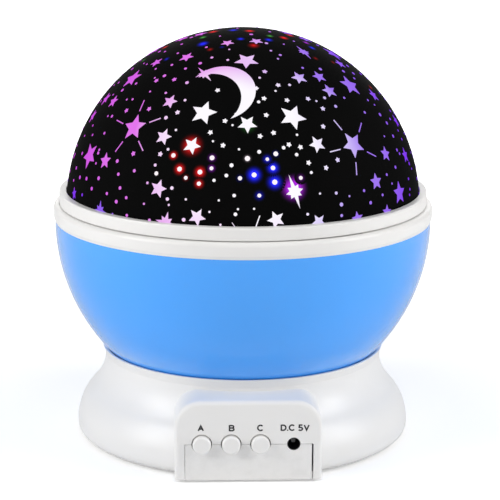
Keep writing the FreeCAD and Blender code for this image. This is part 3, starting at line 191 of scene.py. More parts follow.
def mesh_object(name, points, faces, shader, sharp=35.0):
    """Make a mesh in metres from points in millimetres, smooth but for edges over an angle."""
    mesh = bpy.data.meshes.new(name)
    mesh.from_pydata((np.asarray(points, float) / 1000).tolist(), [], [list(face) for face in faces])
    mesh.materials.append(shader.block)
    mesh.shade_smooth()
    mesh.set_sharp_from_angle(angle=np.radians(sharp))
    piece = bpy.data.objects.new(name, mesh)
    bpy.context.scene.collection.objects.link(piece)
    return piece


paper = material("paper")
lit = paper.node("ShaderNodeLightPath", output="Is Camera Ray")
grain = paper.node("ShaderNodeTexNoise", inputs={"Scale": 900.0, "Detail": 3.0})
tooth = paper.node("ShaderNodeBump", inputs={"Strength": 0.03, "Distance": 0.0002, "Height": grain})
paper_surface = paper.node("ShaderNodeBsdfPrincipled", inputs={
    "Base Color": (0.86, 0.86, 0.86, 1), "Roughness": 0.9, "Specular IOR Level": 0.1,
    "Normal": tooth, "Emission Color": (1, 1, 1, 1), "Emission Strength": 0.0})
spot = paper.node("ShaderNodeTexCoord", output="Object")
away = paper.node("ShaderNodeVectorMath", {"operation": "LENGTH"}, [spot], output="Value")
whiteness = blend(((away - SHADE_REACH) * SHADE_FADE).clamped(), PAPER_SHADE, WALL_WHITE)
glow = paper.node("ShaderNodeEmission", inputs=[whiteness, 1.0])
sum_up = paper.node("ShaderNodeAddShader", inputs=[paper_surface, glow])
paper.node("ShaderNodeOutputMaterial", inputs=[
    paper.node("ShaderNodeMixShader", inputs=[lit, paper_surface, sum_up])])
floor = mesh_object("floor", [(-REACH, -REACH, 0), (REACH, -REACH, 0), (REACH, REACH, 0),
                              (-REACH, REACH, 0)], [(0, 1, 2, 3)], paper)


# Dome
# Half a ball of clear styrene, printed black outside but for its windows. A stepped edge at its
# foot drops into the collar.
def corners(node):
    """Lowest and highest corner of a CAD node, in millimetres."""
    low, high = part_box(node)
    return low * 1000, high * 1000


def arc(centre, radius, first, last, count=24):
    """Points of a round stretch: centre + radius * (cos t, sin t), t in degrees."""
    turn = np.radians(np.linspace(first, last, count))
    return np.stack([centre[0] + radius * np.cos(turn), centre[1] + radius * np.sin(turn)], -1)


def grid_faces(rows, columns, start=0, rows_close=True, columns_close=True):
    """Quads of a grid of points, each joined to the next along both ways."""
    index = np.arange(rows * columns).reshape(rows, columns) + start
    along = np.roll(index, -1, 1)
    quads = np.stack([index, along, np.roll(along, -1, 0), np.roll(index, -1, 0)], -1)
    quads = quads[:None if rows_close else -1, :None if columns_close else -1]
    return quads.reshape(-1, 4)


def turned(profile, count=256):
    """Turn a closed profile about the lamp's axis: (r cos a, r sin a, z) for each angle a."""
    radius, height = np.asarray(profile, float).T
    turn = np.linspace(0, 2 * np.pi, count, endpoint=False)[:, None]
    points = np.stack([radius * np.cos(turn), radius * np.sin(turn),
                       height + 0 * turn], -1)
    return points.reshape(-1, 3), grid_faces(count, len(radius))


MERGE_REACH = 1e-7


def closed_piece(name, points, faces, shader, body, slot, replaced=(), sharp=35.0, attributes=None):
    """A closed mesh with its doubles merged and its faces outwards, on its body."""
    piece = mesh_object(name, points, faces, shader, sharp)
    for key, numbers in (attributes or {}).items():
        layer = piece.data.attributes.new(key, "FLOAT", "POINT")
        layer.data.foreach_set("value", np.asarray(numbers, np.float32))
    work = bmesh.new()
    work.from_mesh(piece.data)
    bmesh.ops.remove_doubles(work, verts=work.verts, dist=MERGE_REACH)
    bmesh.ops.recalc_face_normals(work, faces=work.faces)
    work.to_mesh(piece.data)
    work.free()
    piece.data.shade_smooth()
    piece.data.set_sharp_from_angle(angle=np.radians(sharp))
    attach(piece, body)
    if replaced:
        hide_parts(*replaced)
    return piece


DOME_RADIUS = 56.0
DOME_WALL = 1.6
DOME_STEP = 0.6
DOME_STEP_HEIGHT = 2.2
STEP_BEVEL = 0.15
dome_low, dome_high = corners("dome_shell")
dome_centre = dome_high.z - DOME_RADIUS
step_top = dome_low.z + DOME_STEP_HEIGHT
step_radius = DOME_RADIUS - DOME_STEP
inner_radius = DOME_RADIUS - DOME_WALL
outer_foot = np.degrees(np.arcsin((step_top + STEP_BEVEL - dome_centre) / DOME_RADIUS))
inner_foot = np.degrees(np.arcsin((dome_low.z - dome_centre) / inner_radius))
dome_profile = np.vstack([
    [(step_radius, dome_low.z), (step_radius, step_top),
     (DOME_RADIUS - 2 * STEP_BEVEL, step_top)],
    arc((0, dome_centre), DOME_RADIUS, outer_foot, 90, 64),
    arc((0, dome_centre), inner_radius, 90, inner_foot, 48),
])
INK_DARK = (0.0022, 0.0024, 0.0022, 1)
INK_PALE = (0.0036, 0.0034, 0.0036, 1)
PRINT_ROUGHNESS = 0.55
CLOUD_ROUGHNESS = 0.08
GRAIN_ROUGHNESS = 0.06
dome_print = material("dome_print")
place = dome_print.node("ShaderNodeTexCoord", output="Object")
cloud = dome_print.node("ShaderNodeTexNoise", inputs={"Vector": place, "Scale": 70.0, "Detail": 3.0})
ink = dome_print.node("ShaderNodeTexNoise", inputs={"Vector": place, "Scale": 2600.0, "Detail": 2.0})
ink_colour = blend(cloud, INK_DARK, INK_PALE)
dome_print.node("ShaderNodeOutputMaterial", inputs=[
    dome_print.node("ShaderNodeBsdfPrincipled", inputs={
        "Base Color": ink_colour,
        "Roughness": cloud * CLOUD_ROUGHNESS + ink * GRAIN_ROUGHNESS + PRINT_ROUGHNESS,
        "Specular IOR Level": 0.3, "IOR": 1.06,
        "Normal": dome_print.node("ShaderNodeBump", inputs={
            "Strength": 0.05, "Distance": 0.0001, "Height": ink})})])
closed_piece("dome", *turned(dome_profile), dome_print, "dome", "dome_plastic", ["dome_shell"])


# Star windows
# Gaps in the black print, where the lamps shine through the clear dome: a crescent moon, two
# stars with rays, five-pointed stars, bursts and dots. Each is a patch on the face of the ball.
TINY = 1e-9


def on_dome(azimuth, height, east, north, lift):
    """Points reached from (azimuth round from the front, height), in degrees, by walking (east,
    north) millimetres along the ball: centre + (radius + lift) * (cos(d / radius) * outward +
    sin(d / radius) * heading), where d is the length of the walk."""
    azimuth, height = np.radians(azimuth), np.radians(height)
    outward = np.stack([np.sin(azimuth) * np.cos(height), -np.cos(azimuth) * np.cos(height),
                        np.sin(height)], -1)
    sideways = np.stack([np.cos(azimuth), np.sin(azimuth), 0 * azimuth], -1)
    upward = np.cross(outward, sideways)
    upward = upward * np.sign(upward[..., 2:] + TINY)
    length = np.hypot(east, north)[..., None]
    heading = (east[..., None] * sideways + north[..., None] * upward) / np.maximum(length, TINY)
    walk = length / DOME_RADIUS
    points = np.cos(walk) * outward + np.sin(walk) * heading
    return points * (DOME_RADIUS + lift)[..., None] + np.array([0, 0, dome_centre])


PATCH_LIFT = 0.08
PATCH_SINK = 0.08


def patches(places, outline):
    """Patches of one outline: rows of (azimuth, height, size, turn), and (east, north) points
    round the outline at size 1. A patch is a fan over its rim, with a thin closed back."""
    places = np.asarray(places, float)[:, :, None, None]
    azimuth, height, size, turn = places[:, 0], places[:, 1], places[:, 2], np.radians(places[:, 3])
    steps = len(outline)
    share = np.array([0, 0.5, 1, 1, 0])[:, None]
    lift = np.array([1, 1, 1, 0, 0])[:, None] * (PATCH_LIFT + PATCH_SINK) - PATCH_SINK
    sideways, upward = outline.T
    east = size * share * (sideways * np.cos(turn) + upward * np.sin(turn))
    north = size * share * (upward * np.cos(turn) - sideways * np.sin(turn))
    points = on_dome(azimuth + 0 * east, height + 0 * east, east, north, lift + 0 * east)
    faces = np.vstack([grid_faces(len(share), steps, number * len(share) * steps, rows_close=False)
                       for number in range(len(places))])
    return points.reshape(-1, 3), faces


def joined(*meshes):
    """One list of points and faces from several."""
    points, faces, start = [], [], 0
    for mesh_points, mesh_faces in meshes:
        points.append(mesh_points)
        faces.append(mesh_faces + start)
        start += len(mesh_points)
    return np.vstack(points), np.vstack(faces)


def spiky(reach):
    """Outline of a star: reach * (sin a, cos a) in equal steps of a round its middle."""
    turn = np.linspace(0, 2 * np.pi, len(reach), endpoint=False)
    return np.stack([reach * np.sin(turn), reach * np.cos(turn)], -1)


FIVE = spiky(np.tile([1.0, 0.47], 5))
SMALL_FIVE = spiky(np.tile([1.0, 0.62], 5))
LONG_BURST = spiky(np.tile([1.0, 0.3, 0.46, 0.3, 0.52, 0.3, 0.46, 0.3], 2))
BURST = spiky(np.tile([1.0, 0.42, 0.7, 0.42], 4))
DOT = spiky(np.ones(8))
RAY = np.array([(-0.085, 1), (0.085, 1), (0.085, -1), (-0.085, -1)])
# Degrees round from the front, degrees up, reach in millimetres, turn of its first point
MOON = (-12.5, 48.7, 40.0)
MOON_OUTSIDE = 10.4
MOON_INSIDE = 10.2
MOON_SHIFT = 4.8
MOON_STEPS = 49
RAYED_STARS = [(-46, 33.2, 4.3, -10), (39.5, 28, 4.2, -168)]
STARS = [
    (-18, 40.5, 4.1, 82), (0, 62.5, 3.8, 184), (17.5, 39, 4.3, 175), (57, 47.5, 4, 17),
    (-70, 49, 3.8, -22), (-65.5, 21, 4.2, -38), (82, 60, 3.6, 146), (57.5, 10, 3.6, 4),
    (-0.5, 37, 3, 178), (-34.5, 43.5, 2.5, 8), (-31.5, 31.5, 2.7, 10), (28, 53.5, 2.6, -10),
    (40.5, 53, 2.4, -2), (40.5, 47, 2.6, -1), (24.5, 29.5, 2.7, -164), (13, 74.5, 2.2, -164),
    (-19.5, 73, 2.1, 161), (70, 56, 2.1, 165), (54.5, 23, 2.4, 14), (45.5, 15.5, 2.6, 2),
    (71, 41.5, 2.4, 157), (77.5, 30.5, 2.2, 146), (69.5, 20, 2.5, -138), (-64.5, 57.5, 2.1, 13),
    (-44, 62.5, 2.4, -1), (-79.5, 39, 2.4, -32), (-69, 39.5, 2.3, -15), (-81.5, 32, 2.3, -32),
    (-20, 29.5, 2.8, 21), (-54.5, 21, 2.6, -11), (-29.5, 15.5, 2.8, 13),
    (-16, 8, 2.7, 172), (8, 7.5, 2.7, -23), (95, 76, 2.2, 10), (-92, 70, 2.4, 40),
    (21.5, 6, 2.4, -30), (35.5, 5.5, 2.2, -6), (49, 5.5, 2.2, 7), (-71.5, 7.5, 2, -18),
]
LONG_BURSTS = [(-23.5, 55.5, 4.0, 132), (14.2, 15.6, 5.2, -15), (49, 65, 3.8, 12)]
BURSTS = [(-26, 5.5, 3.4, 10), (-52.5, 5.5, 3.2, 0)]
LOOSE_RAYS = [(-4.7, 5.9, 1.0, -35), (2.4, 7, 1.9, 20)]
SMALL_STARS = [
    (-14, 34), (-9, 38), (-9, 30), (-14, 49), (10, 57), (7, 46), (17, 45), (7, 40), (29, 35), (4, 33),
    (9, 34), (14, 30), (18, 29), (20, 24), (4, 50), (26, 22), (-31, 26), (-42, 25), (15, 51),
    (-29, 40), (-43, 40), (-55, 38), (-39, 52), (31, 24), (27, 45), (32, 41), (-49.5, 50.5),
]
RAY_INNER = 5.5
RAY_OUTER = 9.4
RAY_MIDDLE = (RAY_INNER + RAY_OUTER) / 2
ARMS = 5
rays = [(azimuth, height, turn + 360 / ARMS * arm) for azimuth, height, _, turn in RAYED_STARS
        for arm in range(ARMS)]
ray_places = []
for azimuth, height, heading in rays:
    middle = on_dome(*(np.array([number], float) for number in (
        azimuth, height, RAY_MIDDLE * np.sin(np.radians(heading)),
        RAY_MIDDLE * np.cos(np.radians(heading)), 0)))[0] - (0, 0, dome_centre)
    ray_places.append((np.degrees(np.arctan2(middle[0], -middle[1])),
                       np.degrees(np.arcsin(middle[2] / DOME_RADIUS)),
                       (RAY_OUTER - RAY_INNER) / 2, heading))


def moon(azimuth, height, heading):
    """A crescent between two circles, from tip to tip in equal steps of each circle's angle."""
    outer_half = 180 - np.degrees(np.arccos(
        (MOON_OUTSIDE ** 2 + MOON_SHIFT ** 2 - MOON_INSIDE ** 2) / (2 * MOON_OUTSIDE * MOON_SHIFT)))
    inner_half = np.degrees(np.arccos(
        (MOON_INSIDE ** 2 + MOON_SHIFT ** 2 - MOON_OUTSIDE ** 2) / (2 * MOON_INSIDE * MOON_SHIFT)))
    away = np.radians(heading)
    outer = arc((0, 0), MOON_OUTSIDE, heading - outer_half, heading + outer_half, MOON_STEPS)
    inner = arc((-MOON_SHIFT * np.cos(away), -MOON_SHIFT * np.sin(away)), MOON_INSIDE,
                heading - inner_half, heading + inner_half, MOON_STEPS)
    rows = np.stack([outer, (outer + inner) / 2, inner, inner, (outer + inner) / 2, outer])
    lift = np.array([1, 1, 1, -1, -1, -1])[:, None] * PATCH_LIFT + 0 * rows[..., 0]
    points = on_dome(azimuth + 0 * lift, height + 0 * lift, rows[..., 0], rows[..., 1], lift)
    return points.reshape(-1, 3), grid_faces(len(rows), MOON_STEPS, columns_close=False)


def round_the_dome(rows):
    """The same print again, half a turn round the back."""
    rows = np.asarray(rows, float)
    behind = rows.copy()
    behind[:, 0] += 180
    return np.vstack([rows, behind])


SEED = 7
SMALL_REACH = 0.85
SMALL_TURN = 23
# The dots' number, the sine of the height where they start, how far each strays in degrees up and
# round, their lowest and highest places, and their least and greatest reach
DOT_COUNT = 560
DOT_START = 0.06
DOT_STRAY = (1.1, 2.0)
DOT_HEIGHTS = (4.2, 88)
DOT_REACHES = (0.32, 0.62)
GOLDEN_ANGLE = 137.508
# Room that the dots leave, in millimetres
MOON_ROOM = 8.8
RAYED_ROOM = 10
GLOW_ROOM = 0.8
DOT_ROOM = 0.9
random = np.random.default_rng(SEED)
small = np.array([(azimuth, height, SMALL_REACH, SMALL_TURN * azimuth) for azimuth, height in SMALL_STARS])
fill = np.arange(DOT_COUNT) + 0.5
fill_height = (np.degrees(np.arcsin(DOT_START + (1 - DOT_START) * fill / DOT_COUNT))
               + random.normal(0, DOT_STRAY[0], DOT_COUNT))
fill_azimuth = (fill * GOLDEN_ANGLE + random.normal(0, DOT_STRAY[1], DOT_COUNT)) % 360
dots = np.stack([fill_azimuth, np.clip(fill_height, *DOT_HEIGHTS),
                 random.uniform(*DOT_REACHES, DOT_COUNT), 0 * fill], -1)


def outward(rows):
    """Direction of each place from the middle of the ball."""
    azimuth, height = np.radians(rows[:, 0]), np.radians(rows[:, 1])
    return np.stack([np.sin(azimuth) * np.cos(height), -np.cos(azimuth) * np.cos(height),
                     np.sin(height)], -1)


# Painted glows, each a row of degrees round, degrees up, reach of the glow, its strength, and the size of
# its dot; a dot of 0 is a painted glint with no window
PAINTED_GLOWS = {
    "painted_glow_red": ((1.0, 0.012, 0.015), [
        (-20, 29.5, 4.4, 1, 0), (-26, 26, 2, 1, 0.7), (-23, 22, 2.5, 1, 0.75), (-16, 21.5, 2.6, 1, 0.75),
        (-16, 18, 2.2, 0.9, 0.65), (-20.5, 19.5, 1.6, 0.6, 0.6), (-31, 20, 1.2, 0.4, 0.65),
        (8, 71.5, 2.6, 0.7, 0), (57, 75, 2.2, 0.9, 0), (81, 75, 2.2, 0.9, 0), (52, 61, 1.5, 0.5, 0),
        (-31, 68, 1.6, 0.6, 0), (-86, 64, 2, 0.8, 0), (-80, 80, 2.6, 0.9, 0), (20, 85, 2.4, 0.9, 0),
        (76, 44, 1.6, 0.6, 0), (64, 57.5, 1.4, 0.5, 0)]),
    "painted_glow_blue": ((0.015, 0.02, 1.0), [
        (6, 25.7, 2.2, 0.8, 0.55), (7.7, 23, 2.8, 1.1, 0.7), (1.5, 21, 3.2, 1.2, 0.75),
        (8, 18.7, 3.3, 1.1, 0.8), (9, 27.3, 1.7, 0.6, 0.75), (3, 14.8, 2.2, 0.7, 0.6),
        (-3, 20, 1.8, 0.5, 0.65), (-6, 76.5, 1.8, 0.9, 0), (30, 75, 2, 0.9, 0), (66, 66, 1.9, 0.9, 0),
        (-45, 71, 2.6, 1, 0), (-22, 70, 1.4, 0.5, 0), (-59, 60, 1.5, 0.7, 0), (-49, 85.5, 2.4, 0.9, 0)]),
    "painted_glow_purple": ((0.42, 0.02, 0.72), [
        (-12.4, 26, 2, 0.7, 0.75), (-12.3, 22.8, 1.8, 0.8, 0.6), (14.0, 16.6, 5.0, 1.25, 0),
        (16.6, 19.6, 2, 0.6, 0.6), (73, 69, 1.9, 0.9, 0)]),
    "painted_glow_white": ((0.35, 0.28, 0.33), [(-0.6, 26, 1.7, 0.9, 0.8)]),
    "painted_glow_green": ((0.06, 0.36, 0.05), [
        (-0.3, 36.4, 3.4, 0.62, 0), (42, 78, 1.8, 0.9, 0), (-62, 75, 1.9, 0.9, 0), (-85, 56, 1.8, 0.7, 0)]),
}
taken = np.vstack([round_the_dome([row[:4] for row in STARS + LONG_BURSTS + BURSTS]),
                   round_the_dome([(*row[:2], RAYED_ROOM, 0) for row in RAYED_STARS]),
                   round_the_dome([(*MOON[:2], MOON_ROOM, 0)]), round_the_dome(small),
                   round_the_dome([(*row[:2], GLOW_ROOM * row[2], 0)
                                   for _, rows in PAINTED_GLOWS.values() for row in rows])])
apart = np.degrees(np.arccos(np.clip(outward(dots) @ outward(taken).T, -1, 1)))
free = (apart > np.degrees((taken[:, 2] + DOT_ROOM) / DOME_RADIUS)).all(1)
dots = dots[free]

windows = joined(
    moon(*MOON), moon(MOON[0] + 180, *MOON[1:]),
    patches(round_the_dome(RAYED_STARS), FIVE), patches(round_the_dome(STARS), FIVE),
    patches(round_the_dome(ray_places + LOOSE_RAYS), RAY),
    patches(round_the_dome(LONG_BURSTS), LONG_BURST), patches(round_the_dome(BURSTS), BURST),
    patches(round_the_dome(small), SMALL_FIVE), patches(dots, DOT))
shine = material("window_light")
place = shine.node("ShaderNodeTexCoord", output="Object")
heading = shine.node("ShaderNodeVectorMath", {"operation": "NORMALIZE"}, [
    shine.node("ShaderNodeVectorMath", {"operation": "SUBTRACT"},
               [place, (0, 0, dome_centre / 1000)])])
# The light is palest where the dome faces BRIGHTEST, degrees up at the front, and near the crown. It
# turns from pink to violet towards the right and in the lower left corner, and to blue behind.
# Each START shifts a share, and each RISE says how fast it grows.
BRIGHTEST = 28.0
CROWN_START, CROWN_RISE, CROWN_SHARE = 0.86, 8, 0.16
CORNER_TOP, CORNER_TOP_RISE = 0.2, 20
CORNER_EDGE, CORNER_EDGE_RISE, CORNER_SHARE = -0.62, 8, 2.8
SIDE_START, SIDE_RISE, SIDE_DRIFT = 0.25, 2.2, 0.3
SPREAD_DRIFT = 0.12
NEAR_START, NEAR_RISE = 0.94, 6.5
FAR_START, FAR_RISE = 0.72, 3.6
BACK_RISE = 1.4
PALE_LIGHT = (0.98, 0.95, 1.0, 1)
NEAR_LEFT, NEAR_RIGHT = (0.76, 0.17, 0.84, 1), (0.34, 0.17, 0.88, 1)
FAR_LEFT, FAR_RIGHT = (0.62, 0.07, 0.76, 1), (0.20, 0.025, 0.84, 1)
BACK_LIGHT = (0.10, 0.30, 0.95, 1)
brightest = np.radians(BRIGHTEST)
facing = shine.node("ShaderNodeVectorMath", {"operation": "DOT_PRODUCT"},
                    [heading, (0, -np.cos(brightest), np.sin(brightest))], output="Value")
across = shine.node("ShaderNodeSeparateXYZ", inputs=[heading])
behind = shine.node("ShaderNodeSeparateXYZ", inputs=[heading], output="Y")
above = shine.node("ShaderNodeSeparateXYZ", inputs=[heading], output="Z")
drift = shine.node("ShaderNodeTexNoise", inputs={"Vector": place, "Scale": 60.0, "Detail": 2.0})
crown = ((above - CROWN_START) * CROWN_RISE).clamped()
spread = (drift - 0.5) * SPREAD_DRIFT - facing - crown * CROWN_SHARE
corner = (((CORNER_TOP - above) * CORNER_TOP_RISE).clamped()
          * ((CORNER_EDGE - across) * CORNER_EDGE_RISE).clamped())
side = across * SIDE_RISE + SIDE_START + (drift - 0.5) * SIDE_DRIFT + corner * CORNER_SHARE
near_hue = blend(side, NEAR_LEFT, NEAR_RIGHT)
far_hue = blend(side, FAR_LEFT, FAR_RIGHT)
tint = blend((spread + NEAR_START) * NEAR_RISE, PALE_LIGHT, near_hue)
tint = blend((spread + FAR_START) * FAR_RISE, tint, far_hue)
tint = blend(behind * BACK_RISE, tint, BACK_LIGHT)
shine.node("ShaderNodeOutputMaterial", inputs=[shine.node("ShaderNodeBsdfPrincipled", inputs={
    "Base Color": (0.01, 0.01, 0.01, 1), "Roughness": 0.5, "Specular IOR Level": 0.3, "IOR": 1.06,
    "Emission Color": tint, "Emission Strength": 1.0})])
closed_piece("star_windows", *windows, shine, "dome", "dome_plastic", sharp=25.0)

# Painted lamp glow
# Round each window in front of a coloured lamp, painted glow: emission on the black print that stands in
# for the lamp's light blooming round the window. Near the crown, patches with no window are painted glints
# of the lamps. Each glow is a thin round patch on the ball that fades towards its rim, with a hot dot where
# it has a window.
GLOW_RINGS = 7
GLOW_STEPS = 24
GLOW_LIFT = PATCH_LIFT / 4
PAINTED_HALO_STRENGTH = 2.2
# Fade of a hot dot, and from where on and how fast its own colour gives way to HOT_LIGHT
HOT_FADE, HOT_START, HOT_RISE = 1.7, 1.3, 2.5
HOT_LIGHT = (1, 0.93, 0.97, 1)
for name, (colour, spots) in PAINTED_GLOWS.items():
    rows = np.asarray(spots, float)
    ring = np.linspace(0, 1, GLOW_RINGS)
    share = np.append(ring, [1, 0])[:, None]
    lift = np.append(np.full(GLOW_RINGS, GLOW_LIFT), [-PATCH_SINK] * 2)[:, None]
    heading = np.linspace(0, 2 * np.pi, GLOW_STEPS, endpoint=False)
    reach = rows[:, 2, None, None] * share + 0 * heading
    points = on_dome(rows[:, 0, None, None] + 0 * reach, rows[:, 1, None, None] + 0 * reach,
                     reach * np.sin(heading), reach * np.cos(heading), lift + 0 * reach)
    fade = (1 - share) * rows[:, 3, None, None] + 0 * reach
    painted_halo = (points.reshape(-1, 3), np.vstack([
        grid_faces(len(share), GLOW_STEPS, number * len(share) * GLOW_STEPS, rows_close=False)
        for number in range(len(rows))]))
    dotted = [(azimuth, height, size, 0) for azimuth, height, _, _, size in spots if size]
    cores = [patches(dotted, DOT)] if dotted else []
    light = material(name + "_light")
    depth = light.node("ShaderNodeAttribute", {"attribute_name": "fade"}, output="Fac")
    # Painted glow on the print, fading from the middle of each patch to its rim
    spread = blend(depth * depth * depth * PAINTED_HALO_STRENGTH, (0, 0, 0, 1), (*colour, 1))
    hot = blend((depth - HOT_START) * HOT_RISE, spread, HOT_LIGHT)
    light.node("ShaderNodeOutputMaterial", inputs=[light.node("ShaderNodeBsdfPrincipled", inputs={
        "Base Color": (0.003, 0.003, 0.003, 1), "Roughness": 0.6, "Specular IOR Level": 0.3, "IOR": 1.06,
        "Emission Color": hot, "Emission Strength": 1.0})])
    points, faces = joined(painted_halo, *cores)
    fades = np.append(fade, np.full(len(points) - fade.size, HOT_FADE))
    closed_piece(name, points, faces, light, "dome", "dome_plastic", attributes={"fade": fades})


# Moulded white plastic
# Satin ABS straight from a spark-eroded mould: the base and its bottom cover, the battery door, the
# buttons, the ring, the collar and the lamp post.
SLOW_SCALE = 45.0
SLOW_SHARE, FINE_SHARE = 0.6, 0.4


def moulded(name, colour, roughness, drift=0.03, mottle=0.06, depth=0.06, scale=2200.0,
            metallic=0.0, stretch=(1, 1, 1), pattern=None, **constants):
    """A moulded or rolled surface: slow drift of colour, uneven gloss and a fine grain. A pattern
    is a function that turns the place on the piece and its plain colour into another colour."""
    shader = material(name)
    place = shader.node("ShaderNodeTexCoord", output="Object")
    drawn = shader.node("ShaderNodeMapping", inputs={"Vector": place, "Scale": stretch})
    slow = shader.node("ShaderNodeTexNoise", inputs={"Vector": place, "Scale": SLOW_SCALE, "Detail": 3.0})
    fine = shader.node("ShaderNodeTexNoise", inputs={"Vector": drawn, "Scale": scale, "Detail": 2.0})
    low = tuple(channel * (1 - drift) for channel in colour)
    paint = blend(slow, (*low, 1), (*colour, 1))
    if pattern:
        paint = pattern(place, paint)
    gloss = (slow * SLOW_SHARE + fine * FINE_SHARE - 0.5) * mottle + roughness
    bump = shader.node("ShaderNodeBump", inputs={
        "Strength": depth, "Distance": 0.0001, "Height": fine})
    surface = shader.node("ShaderNodeBsdfPrincipled", inputs={
        "Base Color": paint, "Roughness": gloss, "Metallic": metallic, "Normal": bump})
    for socket, value in constants.items():
        surface.link.node.inputs[socket.replace("_", " ")].default_value = value
    shader.node("ShaderNodeOutputMaterial", inputs=[surface])
    return shader


WHITE = (0.81, 0.80, 0.785)
CLOUDED_WHITE = (0.735, 0.725, 0.71, 1)
CLOUD_START, CLOUD_RISE = 0.46, 3
looks = {}
white_plastic = moulded("white_plastic", WHITE, 0.33, mottle=0.08, Specular_IOR_Level=0.45)
for name in ("base_housing", "battery_door", "button_a", "button_b", "button_c", "rim_ring",
             "dome_collar", "lamp_post"):
    looks[name] = white_plastic


def blotches(place, paint):
    """Slightly darker clouds a few millimetres wide."""
    cloud = place.shader.node("ShaderNodeTexNoise", inputs={
        "Vector": place, "Scale": 240.0, "Detail": 5.0, "Roughness": 0.65})
    return blend((cloud - CLOUD_START) * CLOUD_RISE, paint, CLOUDED_WHITE)


# The bottom cover comes from another mould, and is a little blotchy
looks["base_plate"] = moulded("cover_plastic", WHITE, 0.36, mottle=0.2, depth=0.09, pattern=blotches)

# Bowl
# The sky-blue bowl, most of a ball, that turns on the neck of the base. Glossy ABS from a polished
# mould.
looks["bowl_shell"] = moulded("blue_plastic", (0.045, 0.36, 1.0), 0.16, mottle=0.04,
                              Coat_Weight=0.6, Coat_Roughness=0.12)

# Reflector
# The deck that closes the bowl under the dome. White styrene with a polished face, which throws the
# lamps' light up into the dome.
looks["light_deck"] = moulded("reflector_plastic", (0.84, 0.84, 0.83), 0.2, mottle=0.1, depth=0.03)

# Rubber feet
# Four round feet set into the underside of the base. Black rubber, dusty where it has stood on a
# table.
looks["rubber_feet"] = moulded("rubber", (0.045, 0.045, 0.047), 0.78, drift=0.4, mottle=0.2, depth=0.25)


# Screws, ring, shaft and motor can
# The metal pieces: zinc-plated screws, a blackened spring ring that keeps the bowl down, a ground
# shaft, a drawn and brushed motor can, the jack's pin, and nickel-plated contacts for the cells.
WEAR_START, WEAR_RISE = 0.56, 9
BARE_ZINC = (0.86, 0.86, 0.87, 1)


def axis_of(place, axis):
    """One coordinate of a place, in millimetres."""
    return place.shader.node("ShaderNodeSeparateXYZ", inputs=[place], output=axis) * 1000


def screw_driver_wear(place, paint):
    """Bright scratches in the plating, where a fine stretched noise is high."""
    noise = place.shader.node("ShaderNodeTexNoise", inputs={
        "Vector": place, "Scale": 1400.0, "Detail": 4.0, "Roughness": 0.7})
    return blend((noise - WEAR_START) * WEAR_RISE, paint, BARE_ZINC)


zinc = moulded("zinc_plating", (0.56, 0.57, 0.60), 0.3, drift=0.18, mottle=0.2, depth=0.12,
               metallic=1.0, pattern=screw_driver_wear)
for name in ("case_screws", "door_screw", "motor_screws", "gear_screws", "board_screws"):
    looks[name] = zinc
looks["retaining_ring"] = moulded("spring_steel", (0.14, 0.14, 0.15), 0.38, drift=0.3, mottle=0.2,
                                  depth=0.1, metallic=1.0)
looks["motor_shaft"] = moulded(
    "ground_steel", (0.66, 0.66, 0.67), 0.2, mottle=0.12, depth=0.15, metallic=1.0, stretch=(1, 1, 0.03))
looks["dc_jack_pin"] = moulded("jack_pin", (0.12, 0.12, 0.12), 0.4, mottle=0.12, depth=0.1, metallic=1.0)
looks["gear_motor"] = moulded("motor_can", (0.60, 0.60, 0.60), 0.3, drift=0.1, mottle=0.22, depth=0.16,
                              metallic=1.0, stretch=(0.04, 1, 1))
looks["front_contacts"] = looks["back_contacts"] = moulded(
    "nickel_plating", (0.70, 0.68, 0.62), 0.22, drift=0.1, mottle=0.16, depth=0.1, metallic=1.0,
    stretch=(1, 1, 0.05))

# Gears and washer
# The gear pair that turns the bowl, and the washer that it slides on. Natural acetal resin, waxy and
# off-white. The push switches' plungers are of the same resin.
acetal = moulded("acetal", (0.78, 0.76, 0.69), 0.38, drift=0.06, mottle=0.12, depth=0.08,
                 Coat_Weight=0.15, Coat_Roughness=0.3)
for name in ("ring_gear", "drive_pinion", "thrust_washer", "plunger_a", "plunger_b", "plunger_c"):
    looks[name] = acetal

# Push switches and power jack
# The three switches behind the buttons, and the jack beside them. Black glass-filled nylon, with the
# streaks that its fibres leave.
black_nylon = moulded("black_nylon", (0.018, 0.018, 0.019), 0.42, drift=0.35, mottle=0.24, depth=0.22,
                      stretch=(1, 1, 0.15))
for name in ("push_switch_a", "push_switch_b", "push_switch_c", "dc_jack"):
    looks[name] = black_nylon


# Batteries
# Four AAA cells side by side, every other one turned round. Steel cans in printed sleeves: bare ends,
# a copper band next to the button, a dark body.
CELL_PITCH = (corners("battery_cells")[1].x - corners("battery_cells")[0].x) / 4
CELL_HALF = 20.6
SLEEVE_BAND = 11.5
LINE_INSET = 0.5
EDGE_RISE, LINE_EDGE_RISE, LINE_WIDTH = 20, 8, 4
STEEL = (0.62, 0.62, 0.63, 1)
COPPER = (0.62, 0.27, 0.10, 1)
LINE_GREY = (0.72, 0.70, 0.64, 1)


def sleeve(place, paint):
    """Bands along each cell. Every other cell is turned round: its length runs the other way."""
    count = (axis_of(place, "X") / CELL_PITCH + 2).maths("FLOOR")
    facing = 1 - count.maths("MODULO", 2) * 2
    along = axis_of(place, "Y") * facing
    line = 1 - (along - SLEEVE_BAND + LINE_INSET).maths("ABSOLUTE") * LINE_WIDTH
    paint = blend((along - SLEEVE_BAND) * EDGE_RISE, paint, COPPER)
    paint = blend(line * LINE_EDGE_RISE, paint, LINE_GREY)
    return blend((along.maths("ABSOLUTE") - CELL_HALF) * EDGE_RISE, paint, STEEL)


looks["battery_cells"] = moulded("cell_sleeve", (0.022, 0.026, 0.030), 0.24, drift=0.2, mottle=0.08,
                                 depth=0.03, pattern=sleeve, Coat_Weight=0.5, Coat_Roughness=0.1)


# Circuit boards
# The upright control board behind the buttons, and the round board under the lamps. Glass-fibre
# board under solder mask, green on the first and white on the second.
PAD_REACH, PAD_RISE = 0.24, 24


